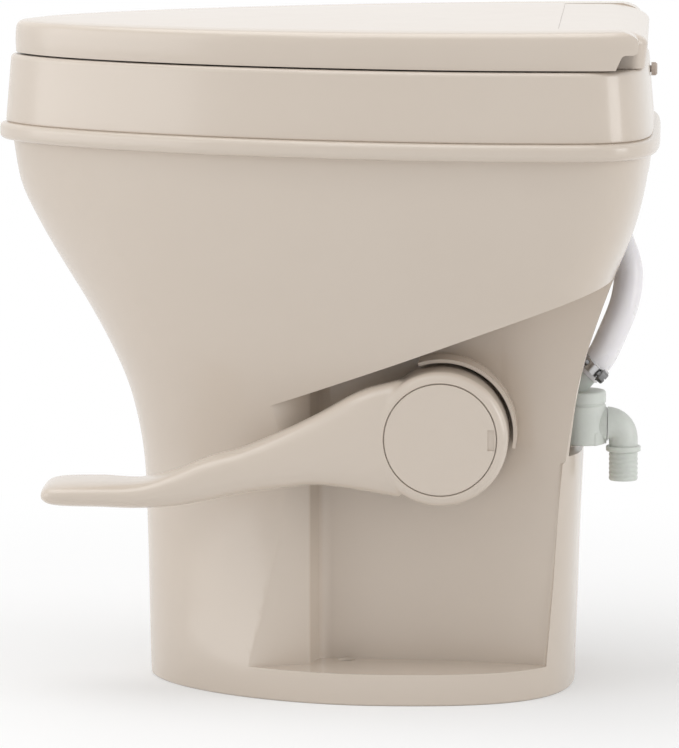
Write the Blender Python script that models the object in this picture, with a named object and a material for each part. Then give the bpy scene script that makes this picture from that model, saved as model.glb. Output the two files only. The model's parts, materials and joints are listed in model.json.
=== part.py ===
import bmesh
import bpy
from math import asin, atan, atan2, ceil, copysign, cos, hypot, pi, radians, sin, sqrt, tan
from mathutils import Matrix, Vector

# Foot-pedal flushing toilet for a caravan. Metres, +Z up. The front of the bowl looks along -Y,
# the pedal is on the +X side, and the floor is z = 0 below the middle of the bead.

for old in list(bpy.data.objects):
    bpy.data.objects.remove(old, do_unlink=True)

# General
SIDES = 36
ROUND_SIDES = 20
SMALL_SIDES = 12
SCREW_SIDES = 8
GAP = 0.0003
OVERRUN = 0.002
MERGE = 0.000002
WALL = 0.004
EDGE_KNEE = 0.293
HALF = 0.5
WIRE_SIDES = 5
HEX_SIDES = 6
HUB_STEPS = 12
EAR_STEPS = 6
REAR_STEPS = 8
END_STEPS = 3

# Overall envelope, taken at the bead round the rim
HALF_LENGTH = 0.245
HALF_WIDTH = 0.187
BEAD_MIDDLE = 0.136
FRONT_POWER = 1.63
REAR_POWER = 4.8
BEAD_BOTTOM = 0.4006
BEAD_HEIGHT = 0.0127
RIM_TOP = 0.4638
BEAD_ROUNDING = 0.0015
BEAD_LEDGE = 0.016
RIM_FOOT_INSET = 0.0045
RIM_TOP_INSET = 0.0085
RIM_EDGE = 0.003

# Pedestal casing
BASE_FRONT = -0.1334
BASE_REAR = 0.184
BASE_HALF_WIDTH = 0.1417
BASE_MIDDLE = 0.042
BASE_FRONT_POWER = 1.75
BASE_REAR_POWER = 2.88
BODY_HEIGHT = 0.4003
BODY_TOP_INSET = 0.0100
BODY_TOP_REAR_INSET = 0.0055
# height, front reach, rear reach, width, place of the widest point, squareness of the rear
BODY_SHARES = (
    (0.000, 0.000, 0.000, 0.000, 0.00, 0.00),
    (0.058, 0.007, 0.005, -0.025, 0.00, 0.04),
    (0.150, 0.014, 0.027, -0.360, 0.00, 0.32),
    (0.285, 0.026, 0.054, -0.700, 0.02, 0.74),
    (0.400, 0.045, 0.090, -0.800, 0.06, 1.00),
    (0.475, 0.089, 0.108, -0.700, 0.14, 1.00),
    (0.550, 0.170, 0.126, -0.445, 0.25, 1.00),
    (0.625, 0.302, 0.207, -0.105, 0.37, 1.00),
    (0.700, 0.464, 0.360, 0.221, 0.52, 1.00),
    (0.775, 0.646, 0.550, 0.533, 0.67, 1.00),
    (0.850, 0.815, 0.766, 0.773, 0.81, 1.00),
    (0.918, 0.940, 0.901, 0.915, 0.92, 1.00),
    (1.000, 1.000, 1.000, 1.000, 1.00, 1.00),
)

# Side niches: the corners of their plan, from the nose to the rear pillar
NICHE_FLOOR = 0.023
NICHE_LIP_X = 0.110
NICHE_LIP_Y = -0.038
NICHE_EDGE_X = 0.095
NICHE_EDGE_Y = -0.009
NICHE_CORNER_X = 0.068
NICHE_CORNER_Y = -0.002
NICHE_MIDDLE_X = 0.072
NICHE_MIDDLE_Y = 0.080
NICHE_WIDE_X = 0.083
NICHE_WIDE_Y = 0.130
NICHE_REAR_X = 0.093
NICHE_REAR_Y = 0.164
NICHE_OUT_X = 0.200
NICHE_OUT_FRONT_Y = -0.060
NICHE_OUT_STEP = 0.005
NICHE_BEND_X = 0.0912
NICHE_BEND_Y = 0.157
PILLAR_TOP_Z = 0.172
PILLAR_TOP_Y = 0.1765
PILLAR_CUT_Z = 0.182
NICHE_EDGE_ROUNDING = 0.005
NICHE_CORNER_ROUNDING = 0.009
NICHE_REAR_ROUNDING = 0.004
NICHE_TOP_Z = 0.227
NICHE_TOP_Y = -0.004
NICHE_SLOPE = radians(20.6)
BOLT_X = 0.076
BOLT_HOLE_RADIUS = 0.0055

# Rear bay with the water valve
BAY_FRONT = 0.130
BAY_FLOOR = 0.177
BAY_TOP = 0.385
PARTITION_TOP = 0.350
BAY_CLEARANCE = 0.015
BAY_OUT = HALF_LENGTH + BAY_CLEARANCE
DECK_TOP = 0.064

# Bowl: drain centre line and the inner surface from the rim down
DRAIN_Y = 0.017
BOWL_WALL = 0.0045
BOWL_FRONT_SHELF = 0.058
BOWL_REAR_SHELF = 0.082
BOWL_SIDE_SHELF = 0.059
BOWL_FRONT = BOWL_FRONT_SHELF - HALF_LENGTH
BOWL_REAR = HALF_LENGTH - BOWL_REAR_SHELF
BOWL_HALF_WIDTH = HALF_WIDTH - BOWL_SIDE_SHELF
BOWL_POWER = 2.0
OUTLET_RADIUS = 0.028
OUTLET_BOTTOM = 0.210
FLANGE_RADIUS = 0.053
FLANGE_THICKNESS = 0.004
# height, front reach, rear reach, width
BOWL_SHARES = (
    (0.045, 0.000, 0.000, 0.000),
    (0.130, 0.180, 0.135, 0.165),
    (0.290, 0.450, 0.315, 0.440),
    (0.490, 0.735, 0.545, 0.725),
    (0.700, 0.905, 0.770, 0.900),
    (0.880, 0.980, 0.930, 0.975),
    (1.000, 1.000, 1.000, 1.000),
)

# Flush ball and its housing
BALL_Z = 0.170
BALL_RADIUS = 0.045
BALL_THICKNESS = 0.004
BALL_OPEN_ANGLE = radians(82)
BALL_POLE_ANGLE = radians(14)
BALL_STEPS = 8
BALL_BOSS_RADIUS = 0.0115
BALL_BOSS_END = 0.0443
HOUSING_BORE = 0.0465
HOUSING_RADIUS = 0.0505
HOUSING_FOOT_RADIUS = 0.062
HOUSING_FOOT_THICKNESS = 0.004
HOUSING_TAPER_TOP = 0.118
HOUSING_TAPER_BOTTOM = 0.100
NECK_BORE = 0.034
NECK_RADIUS = 0.038
NECK_BOTTOM = 0.008
HOUSING_TOP = 0.2061
SEAL_LIP_RADIUS = 0.0275
SEAL_THICKNESS = 0.0033
BALL_SHAFT_RADIUS = 0.007
BALL_SHAFT_INNER = 0.035
SHAFT_BOSS_RADIUS = 0.012
SHAFT_BOSS_END = 0.0548
SHAFT_SEAL_RADIUS = 0.0095
SHAFT_SEAL_WIDTH = 0.003
IDLE_PIN_END = 0.0578
HOUSING_SCREW_REACH = 0.0565
SCREW_RADIUS = 0.002
SCREW_HEAD_RADIUS = 0.004
SCREW_HEAD_HEIGHT = 0.003
HEAD_CROWN_SHARE = 0.6
BAND_RADIUS = 0.0555
BAND_LIP = 0.0022
BAND_SCREW_RADIUS = 0.0025
BAND_LUG_REACH = 0.012
BAND_SPLIT = 0.006
BAND_LUG_THICKNESS = 0.003
BAND_SCREW_HEAD = 0.0045
FLOOR_SEAL_RADIUS = 0.058
FLOOR_SEAL_TOP = 0.016
FLOOR_SEAL_CHAMFER = 0.004

# Pedal shaft, gears and return spring
PEDAL_Y = 0.088
PEDAL_Z = 0.196
PEDAL_TRAVEL = radians(25)
SHAFT_RADIUS = 0.008
SHAFT_INNER = 0.012
SHAFT_OUTER = 0.130
GROOVE_DEPTH = 0.001
GEAR_INNER = 0.0565
GEAR_WIDTH = 0.006
SECTOR_TEETH = 36
PINION_TEETH = 12
SECTOR_KEPT = 5
PRESSURE_ANGLE = radians(25)
ADDENDUM_SHARE = 0.80
DEDENDUM_SHARE = 1.05
BACKLASH = 0.0005
FLANK_STEPS = 2
GEAR_MODULE = 2 * hypot(PEDAL_Y - DRAIN_Y, PEDAL_Z - BALL_Z) / (SECTOR_TEETH + PINION_TEETH)
SECTOR_FIRST = -3
SECTOR_MARGIN = radians(6)
GEAR_HUB_RADIUS = 0.013
SECTOR_HUB_INNER = 0.0555
CAM_INNER = 0.0465
CAM_WIDTH = 0.008
CAM_BASE_RADIUS = 0.0125
CAM_START_RADIUS = 0.0147
CAM_LIFT = 0.004
CAM_HOLD = radians(10)
CAM_FALL = radians(30)
CAM_STEPS = 48
BUSHING_RADIUS = 0.011
BUSHING_FLANGE_RADIUS = 0.0145
BUSHING_FLANGE = 0.002
BUSHING_INNER = 0.0655
HUB_BOSS_OUTER = 0.087
HUB_BOSS_RADIUS = 0.017
COLLAR_RADIUS = 0.0545
COLLAR_THICKNESS = 0.0025
COLLAR_OUTER = 0.112
COLLAR_START = radians(-11)
COLLAR_END = radians(108.7)
COLLAR_STEPS = 10
SPRING_INNER = 0.0245
SPRING_TURNS = 5
SPRING_PITCH = 0.0036
SPRING_WIRE = 0.0011
SPRING_SEGMENTS = 8
SPRING_RADIUS = 0.0102
SPRING_LEG = 0.0323
SPRING_SHORT_LEG = 0.008
CLIP_RADIUS = 0.012
CLIP_THICKNESS = 0.0015
CLIP_MOUTH_SHARE = 0.8
BRACKET_THICKNESS = 0.004
BRACKET_LOW_X = 0.000
BRACKET_HIGH_X = 0.070
BRACKET_HALF_HEIGHT = 0.022
EAR_OUTER = 0.020
EAR_RADIUS = 0.0125
BRACKET_SCREW_LOW_X = 0.006
BRACKET_SCREW_HIGH_X = 0.032
BRACKET_SCREW_RISE = 0.0140

# Pedal
HUB_OUTER = 0.147
HUB_INNER = 0.089
HUB_RADIUS = 0.049
HUB_EDGE = 0.006
HUB_CAVITY_RADIUS = 0.044
HUB_WEB = 0.1385
HUB_SOCKET_RADIUS = 0.013
HUB_SOCKET_INNER = 0.091
CAP_RADIUS = 0.0405
CAP_RECESS_RADIUS = 0.041
CAP_THICKNESS = 0.003
CAP_SLOT_WIDTH = 0.005
CAP_SLOT_HEIGHT = 0.015
CAP_SLOT_DEPTH = 0.001
CAP_SLOT_INSET = 0.0012
PEDAL_SCREW_RADIUS = 0.003
PEDAL_SCREW_HEAD = 0.0065
PEDAL_SCREW_HEIGHT = 0.0035
PEDAL_SCREW_DEPTH = 0.012
ARM_REACH = 0.288
ARM_LOW = 0.1428
ARM_HIGH = 0.2440
ARM_WIDTH = 0.036
PAD_WIDTH = 0.075
TIP_INSET = 0.009
ARM_ROUNDING_POWER = 3.6
ARM_SIDES = 16
# along the arm from the shaft, height of its top, height of its bottom, widening, narrowing at the tip
ARM_SHARES = (
    (1.000, 0.130, 0.051, 1.00, 1.00),
    (0.986, 0.160, 0.022, 1.00, 0.36),
    (0.951, 0.178, 0.005, 1.00, 0.06),
    (0.861, 0.185, 0.000, 1.00, 0.00),
    (0.757, 0.193, 0.012, 0.59, 0.00),
    (0.670, 0.244, 0.051, 0.18, 0.00),
    (0.583, 0.338, 0.101, 0.03, 0.00),
    (0.497, 0.417, 0.150, 0.00, 0.00),
    (0.392, 0.526, 0.193, 0.00, 0.00),
    (0.306, 0.669, 0.200, 0.00, 0.00),
    (0.200, 0.835, 0.163, 0.00, 0.00),
    (0.100, 0.940, 0.090, 0.00, 0.00),
)

# Water valve
VALVE_X = 0.050
VALVE_BODY_Y = 0.188
VALVE_BODY_RADIUS = 0.0185
VALVE_BODY_BOTTOM = 0.1815
VALVE_BODY_TOP = 0.221
VALVE_BODY_EDGE = 0.003
VALVE_CORE_RADIUS = 0.0155
BONNET_THICKNESS = 0.008
BONNET_RADIUS = 0.0168
BONNET_EAR_X = 0.0215
BONNET_EAR_RADIUS = 0.0055
BONNET_NOSE_RADIUS = 0.006
BONNET_NOSE_END = 0.121
EAR_PLATE = 0.005
DIAPHRAGM_RADIUS = 0.013
DIAPHRAGM_THICKNESS = 0.0018
STEM_RADIUS = 0.003
STEM_HEAD_RADIUS = 0.006
STEM_HEAD_THICKNESS = 0.0025
STEM_TIP_RADIUS = 0.001
STEM_TIP_LENGTH = 0.003
STEM_CAM_GAP = 0.0009
STEM_PLUNGE = 0.006
STEM_SPRING_RADIUS = 0.0045
STEM_SPRING_WIRE = 0.0006
STEM_SPRING_TURNS = 4
STEM_SPRING_SEGMENTS = 8
ELBOW_RADIUS = 0.0108
ELBOW_BORE = 0.007
ELBOW_START_Y = 0.2080
ELBOW_STRAIGHT = 0.0003
ELBOW_BOSS_RADIUS = 0.0125
ELBOW_Z = 0.196
ELBOW_Y = 0.2194
COLLAR_NUT_RADIUS = 0.0128
COLLAR_NUT_TOP = 0.180
COLLAR_NUT_HEIGHT = 0.004
SPIGOT_BOTTOM = 0.1545
SPIGOT_RADIUS = 0.011
SPIGOT_GROOVE = 0.001
SPIGOT_RIBS = 4
RIB_SHARE = 0.4
BARB_RADIUS = 0.0070
BARB_BORE = 0.0045
BARB_ROOT_RADIUS = 0.0095
BARB_ROOT = 0.007
BARB_BURIED = 0.012
BARB_LENGTH = 0.0135
BARB_DEPTH = 0.030

# Rinse hose
HOSE_RADIUS = 0.01075
HOSE_BORE = 0.0074
HOSE_POINTS = 18
HOSE_SIDES = 12
HOSE_LEAN = (0.0, 0.69, 0.73)
HOSE_STRAIGHT = 0.014
HOSE_TOP_LEAN = (-0.342, -0.308, 0.889)
HOSE_ROUTE = (
    (0.0500, 0.2012, 0.2437),
    (0.0465, 0.2108, 0.2627),
    (0.0405, 0.2200, 0.2865),
    (0.0335, 0.2220, 0.3085),
    (0.0260, 0.2152, 0.3300),
    (0.0201, 0.2111, 0.3427),
)
HOSE_CLAMP_WIDTH = 0.008
HOSE_CLAMP_THICKNESS = 0.0012
HOSE_CLAMP_PLACE = 0.0075
CLAMP_SCREW_RADIUS = 0.0022
CLAMP_SCREW_HEAD = 0.0046
CLAMP_SCREW_HEAD_LENGTH = 0.005
CLAMP_SCREW_SHANK = 0.015
CLAMP_HOUSING_LENGTH = 0.010
CLAMP_HOUSING_HEIGHT = 0.0065

# Vacuum breaker and rinse nozzle
BREAKER_RADIUS = 0.0145
BREAKER_WALL = 0.0025
BREAKER_BOTTOM = 0.3575
BREAKER_TOP = 0.392
BREAKER_X = 0.000
BREAKER_CAP_RADIUS = 0.0165
BREAKER_CAP_HEIGHT = 0.006
BREAKER_CAP_SKIRT = 0.004
SKIRT_LIFT = 0.0027
NOZZLE_Z = 0.380
NOZZLE_RADIUS = 0.0075
NOZZLE_BORE = 0.005
NOZZLE_FLANGE_RADIUS = 0.0125
NOZZLE_FLANGE = 0.003
NOZZLE_BOSS_RADIUS = 0.0155
NOZZLE_BOSS_INSET = 0.017
NOZZLE_BOSS_LENGTH = 0.024
NOZZLE_BOSS_REAR = BOWL_REAR - NOZZLE_BOSS_INSET
NOZZLE_BOSS_FRONT = NOZZLE_BOSS_REAR - NOZZLE_BOSS_LENGTH
NOZZLE_LIP = 0.0005
NOZZLE_INNER_Y = NOZZLE_BOSS_FRONT - NOZZLE_LIP
SOCKET_RADIUS = 0.0105
SOCKET_STEP = 0.006
SOCKET_DEPTH = 0.020
SOCKET_FRONT_Y = NOZZLE_BOSS_REAR + SOCKET_STEP
NOZZLE_END_Y = SOCKET_FRONT_Y + SOCKET_DEPTH
BREAKER_SETBACK = 0.024
BREAKER_Y = NOZZLE_END_Y + BREAKER_SETBACK
GASKET_THICKNESS = 0.0015

# Hinge, seat and lid
HINGE_INSET = 0.0375
HINGE_Y = HALF_LENGTH - HINGE_INSET
HINGE_Z = 0.486
HINGE_PIN_RADIUS = 0.0028
HINGE_PIN_HEAD = 0.005
HINGE_PIN_HEAD_THICKNESS = 0.002
HOUSING_END_INSET = 0.049
HOUSING_HALF_LENGTH = HALF_WIDTH - HOUSING_END_INSET
HINGE_PIN_DEPTH = 0.010
HINGE_PIN_INNER = HOUSING_HALF_LENGTH - HINGE_PIN_DEPTH
HOUSING_SWEEP = 0.0362
HOUSING_FOOT_INSET = 0.011
HOUSING_BULGE = 0.0012
HOUSING_BASE_REAR = HALF_LENGTH - HOUSING_FOOT_INSET
HOUSING_REAR = HOUSING_BASE_REAR + HOUSING_BULGE
COVER_TOP = 0.5030
HOUSING_WALL = 0.003
HOUSING_END_BLOCK = 0.014
HOUSING_END_ROUNDING = 0.012
# from the hinge line: rearwards and upwards, as shares of the housing's rear reach and top rise
HINGE_PROFILE_SHARES = (
    (-0.54, 1.00),
    (-0.14, 0.95),
    (0.28, 0.735),
    (0.52, 0.476),
    (0.70, 0.20),
    (0.82, -0.06),
    (0.91, -0.33),
    (0.97, -0.60),
    (1.00, -0.97),
)
HINGE_BOLT_INSET = 0.048
HINGE_BOLT_SETBACK = 0.0045
HINGE_BOLT_X = HOUSING_HALF_LENGTH - HINGE_BOLT_INSET
HINGE_BOLT_Y = HINGE_Y - HINGE_BOLT_SETBACK
HINGE_BOLT_RADIUS = 0.003
HINGE_BOLT_TOP = 0.484
HINGE_BOLT_BOTTOM = 0.440
HINGE_BOSS_RADIUS = 0.008
HINGE_BOSS_TOP = 0.4985
HINGE_NUT_RADIUS = 0.0085
HINGE_NUT_HEIGHT = 0.007
HINGE_FLANGE_RADIUS = 0.011
HINGE_FLANGE_THICKNESS = 0.0015
EAR_WIDTH = 0.008
EAR_DISC_RADIUS = 0.0085
EAR_CLEARANCE = 0.001
SEAT_EAR_END = HOUSING_HALF_LENGTH + EAR_CLEARANCE + EAR_WIDTH
SEAT_EAR_REACH = 0.058
# from the hinge line: rearwards and upwards, as shares of the ear's reach
SEAT_EAR_SHARES = (
    (-0.379, -0.112),
    (-0.483, -0.138),
    (-0.724, -0.259),
    (-1.000, -0.259),
    (-1.000, -0.017),
    (-0.724, -0.017),
    (-0.379, 0.103),
)
SEAT_INSET = 0.0215
SEAT_REAR_INSET = 0.079
SEAT_REAR = HALF_LENGTH - SEAT_REAR_INSET
SEAT_MIDDLE = 0.120
SEAT_BOTTOM = 0.470
SEAT_TOP = 0.486
SEAT_EDGE = 0.003
SEAT_REAR_POWER = 5.0
SEAT_SIDE_WIDTH = 0.081
SEAT_FRONT_WIDTH = 0.087
SEAT_BACK_INSET = 0.129
SEAT_HOLE_HALF_WIDTH = HALF_WIDTH - SEAT_SIDE_WIDTH
SEAT_HOLE_FRONT = SEAT_FRONT_WIDTH - HALF_LENGTH
SEAT_HOLE_REAR = HALF_LENGTH - SEAT_BACK_INSET
SEAT_HOLE_MIDDLE = -0.010
SEAT_HOLE_POWER = 2.15
SEAT_HOLE_EDGE = 0.008
SEAT_BUMPER_FRONT_X = 0.030
SEAT_BUMPER_FRONT_INSET = 0.048
SEAT_BUMPER_SIDE_INSET = 0.069
SEAT_BUMPER_REAR_INSET = 0.125
SEAT_BUMPER_FRONT_Y = SEAT_BUMPER_FRONT_INSET - HALF_LENGTH
SEAT_BUMPER_REAR_X = HALF_WIDTH - SEAT_BUMPER_SIDE_INSET
SEAT_BUMPER_REAR_Y = HALF_LENGTH - SEAT_BUMPER_REAR_INSET
SEAT_BUMPER_RADIUS = 0.009
LID_SKIRT_BOTTOM = 0.465
LID_WALL = 0.003
LID_TILT = 0.0228
LID_CROWN = 0.0012
LID_CUT_GAP = 0.0008
LID_END_RADIUS = 0.0218
# from the hinge line: rearwards and upwards, as shares of the radius of the lid's rear end
LID_NOTCH_SHARES = (
    (0.069, -1.101),
    (0.436, -0.642),
    (0.514, -0.505),
    (0.849, -0.472),
    (1.376, -0.472),
    (1.376, -1.101),
)
EAR_PASSAGE_SHARES = (
    (-0.180, -1.101),
    (0.730, -1.101),
    (0.730, -0.480),
    (0.410, -0.480),
    (-0.180, -0.730),
)
# inset, height, tilt: the side of the lid from its lower edge up to its flat top
LID_EDGE_INSET = 0.030
LID_EDGE_RISE = 0.0275
LID_REAR_REACH = 0.017
LID_REAR = HALF_LENGTH + LID_REAR_REACH
LID_SHARES = (
    (0.412, 0.000, 0.00),
    (0.400, 0.430, 0.40),
    (0.450, 0.640, 0.75),
    (0.600, 0.840, 1.00),
    (0.770, 0.940, 1.00),
    (1.000, 1.000, 1.00),
)
LID_TOP_SHARES = (0.66, 0.33)
LID_BUMPER_X = 0.028
LID_BUMPER_INSET = 0.065
LID_BUMPER_Y = LID_BUMPER_INSET - HALF_LENGTH
LID_BUMPER_RADIUS = 0.007
STOP_Z = 0.4538
STOP_RADIUS = 0.0049
STOP_DEPTH = 0.0044
STOP_PEG_RADIUS = 0.0025
STOP_PEG_LENGTH = 0.009
STOP_GAP = 0.0015
STOP_EDGE = 0.0012

# pieces whose many small cuts leave open edges with the exact solver
FINE_CUTS = ("lid", "bowl", "pedal_arm", "ball_housing", "valve_body", "vacuum_breaker", "valve_bonnet")

FINISHES = {
    "bone_plastic": ((0.62, 0.54, 0.44), 0.25, 0.0),
    "pale_nylon": ((0.60, 0.66, 0.60), 0.45, 0.0),
    "white_vinyl": ((0.78, 0.76, 0.80), 0.35, 0.0),
    "grey_acetal": ((0.35, 0.36, 0.36), 0.45, 0.0),
    "black_plastic": ((0.03, 0.03, 0.03), 0.50, 0.0),
    "black_rubber": ((0.02, 0.02, 0.02), 0.75, 0.0),
    "bone_rubber": ((0.50, 0.43, 0.38), 0.65, 0.0),
    "steel": ((0.55, 0.55, 0.56), 0.30, 1.0),
}


def material(finish):
    found = bpy.data.materials.get(finish)
    if found:
        return found
    color, roughness, metallic = FINISHES[finish]
    made = bpy.data.materials.new(finish)
    made.use_nodes = True
    shader = made.node_tree.nodes["Principled BSDF"]
    shader.inputs["Base Color"].default_value = (*color, 1.0)
    shader.inputs["Roughness"].default_value = roughness
    shader.inputs["Metallic"].default_value = metallic
    made.diffuse_color = (*color, 1.0)
    return made


def finish_object(name, bm, finish):
    bmesh.ops.remove_doubles(bm, verts=bm.verts, dist=MERGE)
    bmesh.ops.recalc_face_normals(bm, faces=bm.faces)
    mesh = bpy.data.meshes.new(name)
    bm.to_mesh(mesh)
    bm.free()
    mesh.shade_smooth()
    mesh.set_sharp_from_angle(angle=radians(35))
    made = bpy.data.objects.new(name, mesh)
    bpy.context.scene.collection.objects.link(made)
    made.data.materials.append(material(finish))
    return made


def boolean(target, tool, operation):
    modifier = target.modifiers.new(tool.name, "BOOLEAN")
    modifier.operation = operation
    modifier.solver = "MANIFOLD" if target.name in FINE_CUTS else "EXACT"
    modifier.object = tool
    tool.hide_render = True
    tool.display_type = "WIRE"
    return target


def cut(target, *tools):
    for tool in tools:
        boolean(target, tool, "DIFFERENCE")
    return target


def fuse(target, *tools):
    for tool in tools:
        boolean(target, tool, "UNION")
    return target


def tool_object(name, bm):
    return finish_object(name, bm, "steel")


def place(x=0.0, y=0.0, z=0.0, axis="Z"):
    """Local +Z is laid along the named axis, at the place given."""
    turns = {
        "Z": Matrix.Identity(4),
        "X": Matrix(((0, 0, 1, 0), (0, 1, 0, 0), (-1, 0, 0, 0), (0, 0, 0, 1))),
        "Y": Matrix(((1, 0, 0, 0), (0, 0, 1, 0), (0, -1, 0, 0), (0, 0, 0, 1))),
    }
    return Matrix.Translation((x, y, z)) @ turns[axis]


def along(start, direction):
    """Local +Z is laid along any direction."""
    turn = Vector(direction).to_track_quat("Z", "Y").to_matrix().to_4x4()
    return Matrix.Translation(start) @ turn


def join_rings(bm, low, high):
    count = max(len(low), len(high))
    if count == 1:
        return
    for index in range(count):
        after = (index + 1) % count
        corners = [low[index % len(low)], low[after % len(low)]]
        corners += [high[after % len(high)], high[index % len(high)]]
        bm.faces.new(list(dict.fromkeys(corners)))


def add_turned(bm, profile, where, sides=SMALL_SIDES):
    """Spins a closed profile of (radius, height) corners about local Z."""
    rings = []
    for radius, height in profile:
        count = sides if radius > 0 else 1
        angles = [2 * pi * step / count for step in range(count)]
        ring = [Vector((radius * cos(angle), radius * sin(angle), height)) for angle in angles]
        rings.append([bm.verts.new(where @ point) for point in ring])
    for low, high in zip(rings, rings[1:] + rings[:1]):
        join_rings(bm, low, high)


def add_loft(bm, rings):
    """Joins rings of points, lowest first, and closes both ends; a ring of one point is a tip."""
    loops = [[bm.verts.new(point) for point in ring] for ring in rings]
    for low, high in zip(loops, loops[1:]):
        join_rings(bm, low, high)
    for loop in (loops[0], loops[-1]):
        if len(loop) > 2:
            bm.faces.new(loop)


def add_prism(bm, outline, low, high, axis="Z"):
    """Extrudes a flat outline along an axis: X takes (y, z) corners, Y takes (x, z), Z takes (x, y)."""
    spots = {
        "X": lambda u, v, w: (w, u, v),
        "Y": lambda u, v, w: (u, w, v),
        "Z": lambda u, v, w: (u, v, w),
    }
    spot = spots[axis]
    add_loft(bm, [[spot(u, v, low) for u, v in outline], [spot(u, v, high) for u, v in outline]])


def add_block(bm, low, high):
    corners = [(low[0], low[1]), (high[0], low[1]), (high[0], high[1]), (low[0], high[1])]
    add_prism(bm, corners, low[2], high[2])


def path_rings(points, radius, sides):
    spots = [Vector(point) for point in points]
    count = len(spots)
    side = None
    rings = []
    for index, spot in enumerate(spots):
        ahead = (spots[min(index + 1, count - 1)] - spots[max(index - 1, 0)]).normalized()
        side = ahead.orthogonal() if side is None else side - ahead * side.dot(ahead)
        side.normalize()
        across = ahead.cross(side)
        angles = [2 * pi * step / sides for step in range(sides)]
        rings.append([spot + (side * cos(a) + across * sin(a)) * radius for a in angles])
    return rings


def add_tube(bm, points, radius, sides):
    """A round bar along points, square to its path at both ends."""
    add_loft(bm, path_rings(points, radius, sides))


def turned(name, profile, where, finish, sides=SMALL_SIDES):
    bm = bmesh.new()
    add_turned(bm, profile, where, sides)
    return finish_object(name, bm, finish)


def loft(name, rings, finish):
    bm = bmesh.new()
    add_loft(bm, rings)
    return finish_object(name, bm, finish)


def prism(name, outline, low, high, axis, finish):
    bm = bmesh.new()
    add_prism(bm, outline, low, high, axis)
    return finish_object(name, bm, finish)


def rod(name, radius, low, high, where, finish, sides=SMALL_SIDES):
    return turned(name, [(0, low), (radius, low), (radius, high), (0, high)], where, finish, sides)


def outline(half_width, front, rear, middle, front_power, rear_power, sides=SIDES):
    """Plan of the rim and casing: two half superellipses that meet at the widest point."""
    points = []
    for index in range(sides):
        angle = 2 * pi * index / sides
        power = rear_power if sin(angle) >= 0 else front_power
        reach = rear - middle if sin(angle) >= 0 else middle - front
        x = half_width * copysign(abs(cos(angle)) ** (2 / power), cos(angle))
        y = middle + reach * copysign(abs(sin(angle)) ** (2 / power), sin(angle))
        points.append((x, y))
    return points


def at_height(points, z):
    return [(x, y, z) for x, y in points]


def mixed(low, high, share):
    return low + (high - low) * share


def arc(center_u, center_v, radius, start, end, steps):
    angles = [mixed(start, end, step / steps) for step in range(steps + 1)]
    return [(center_u + radius * cos(a), center_v + radius * sin(a)) for a in angles]


def rounded(points, radii, steps=3):
    """Replaces each inner corner of an open chain by an arc, where its radius isn't zero."""
    made = [points[0]]
    for before, corner, after, radius in zip(points, points[1:], points[2:], radii):
        spot = Vector(corner)
        back = (Vector(before) - spot).normalized()
        ahead = (Vector(after) - spot).normalized()
        half = back.angle(ahead) / 2
        if radius == 0 or abs(half - pi / 2) < radians(1):
            made.append(corner)
            continue
        reach = radius / tan(half)
        center = spot + (back + ahead).normalized() * (radius / sin(half))
        start = spot + back * reach - center
        end = spot + ahead * reach - center
        turn = start.angle_signed(end)
        for step in range(steps + 1):
            angle = -turn * step / steps
            x = start.x * cos(angle) - start.y * sin(angle)
            y = start.x * sin(angle) + start.y * cos(angle)
            made.append((center.x + x, center.y + y))
    made.append(points[-1])
    return made


def offset_chain(points, distance):
    """Moves an open chain to its left by the same distance all along."""
    spots = [Vector(point) for point in points]
    lefts = []
    for low, high in zip(spots, spots[1:]):
        run = (high - low).normalized()
        lefts.append(Vector((-run.y, run.x)))
    made = []
    for index, spot in enumerate(spots):
        first = lefts[max(index - 1, 0)]
        second = lefts[min(index, len(lefts) - 1)]
        middle = (first + second).normalized()
        made.append(tuple(spot + middle * (distance / middle.dot(first))))
    return made


def mirrored(points):
    return [(-x, y) for x, y in reversed(points)]


def bead_outline(inset):
    return outline(
        HALF_WIDTH - inset, inset - HALF_LENGTH, HALF_LENGTH - inset, BEAD_MIDDLE, FRONT_POWER, REAR_POWER,
    )


def body_ring(z, inset=0.0):
    """Plan of the casing at a height, drawn in by the inset."""
    share = min(max(z / BODY_HEIGHT, 0.0), 1.0)
    low, high = next(pair for pair in zip(BODY_SHARES, BODY_SHARES[1:]) if share <= pair[1][0])
    part = (share - low[0]) / (high[0] - low[0])
    front, rear, width, middle, squareness = [mixed(a, b, part) for a, b in zip(low[1:], high[1:])]
    points = outline(
        mixed(BASE_HALF_WIDTH, HALF_WIDTH - BODY_TOP_INSET, width) - inset,
        mixed(BASE_FRONT, BODY_TOP_INSET - HALF_LENGTH, front) + inset,
        mixed(BASE_REAR, HALF_LENGTH - BODY_TOP_REAR_INSET, rear) - inset,
        mixed(BASE_MIDDLE, BEAD_MIDDLE, middle),
        mixed(BASE_FRONT_POWER, FRONT_POWER, middle),
        mixed(BASE_REAR_POWER, REAR_POWER, squareness),
    )
    return at_height(points, z)


def body_rings(bottom, top, inset=0.0):
    heights = [share[0] * BODY_HEIGHT for share in BODY_SHARES]
    between = [z for z in heights if bottom < z < top]
    return [body_ring(z, inset) for z in [bottom, *between, top]]


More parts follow.
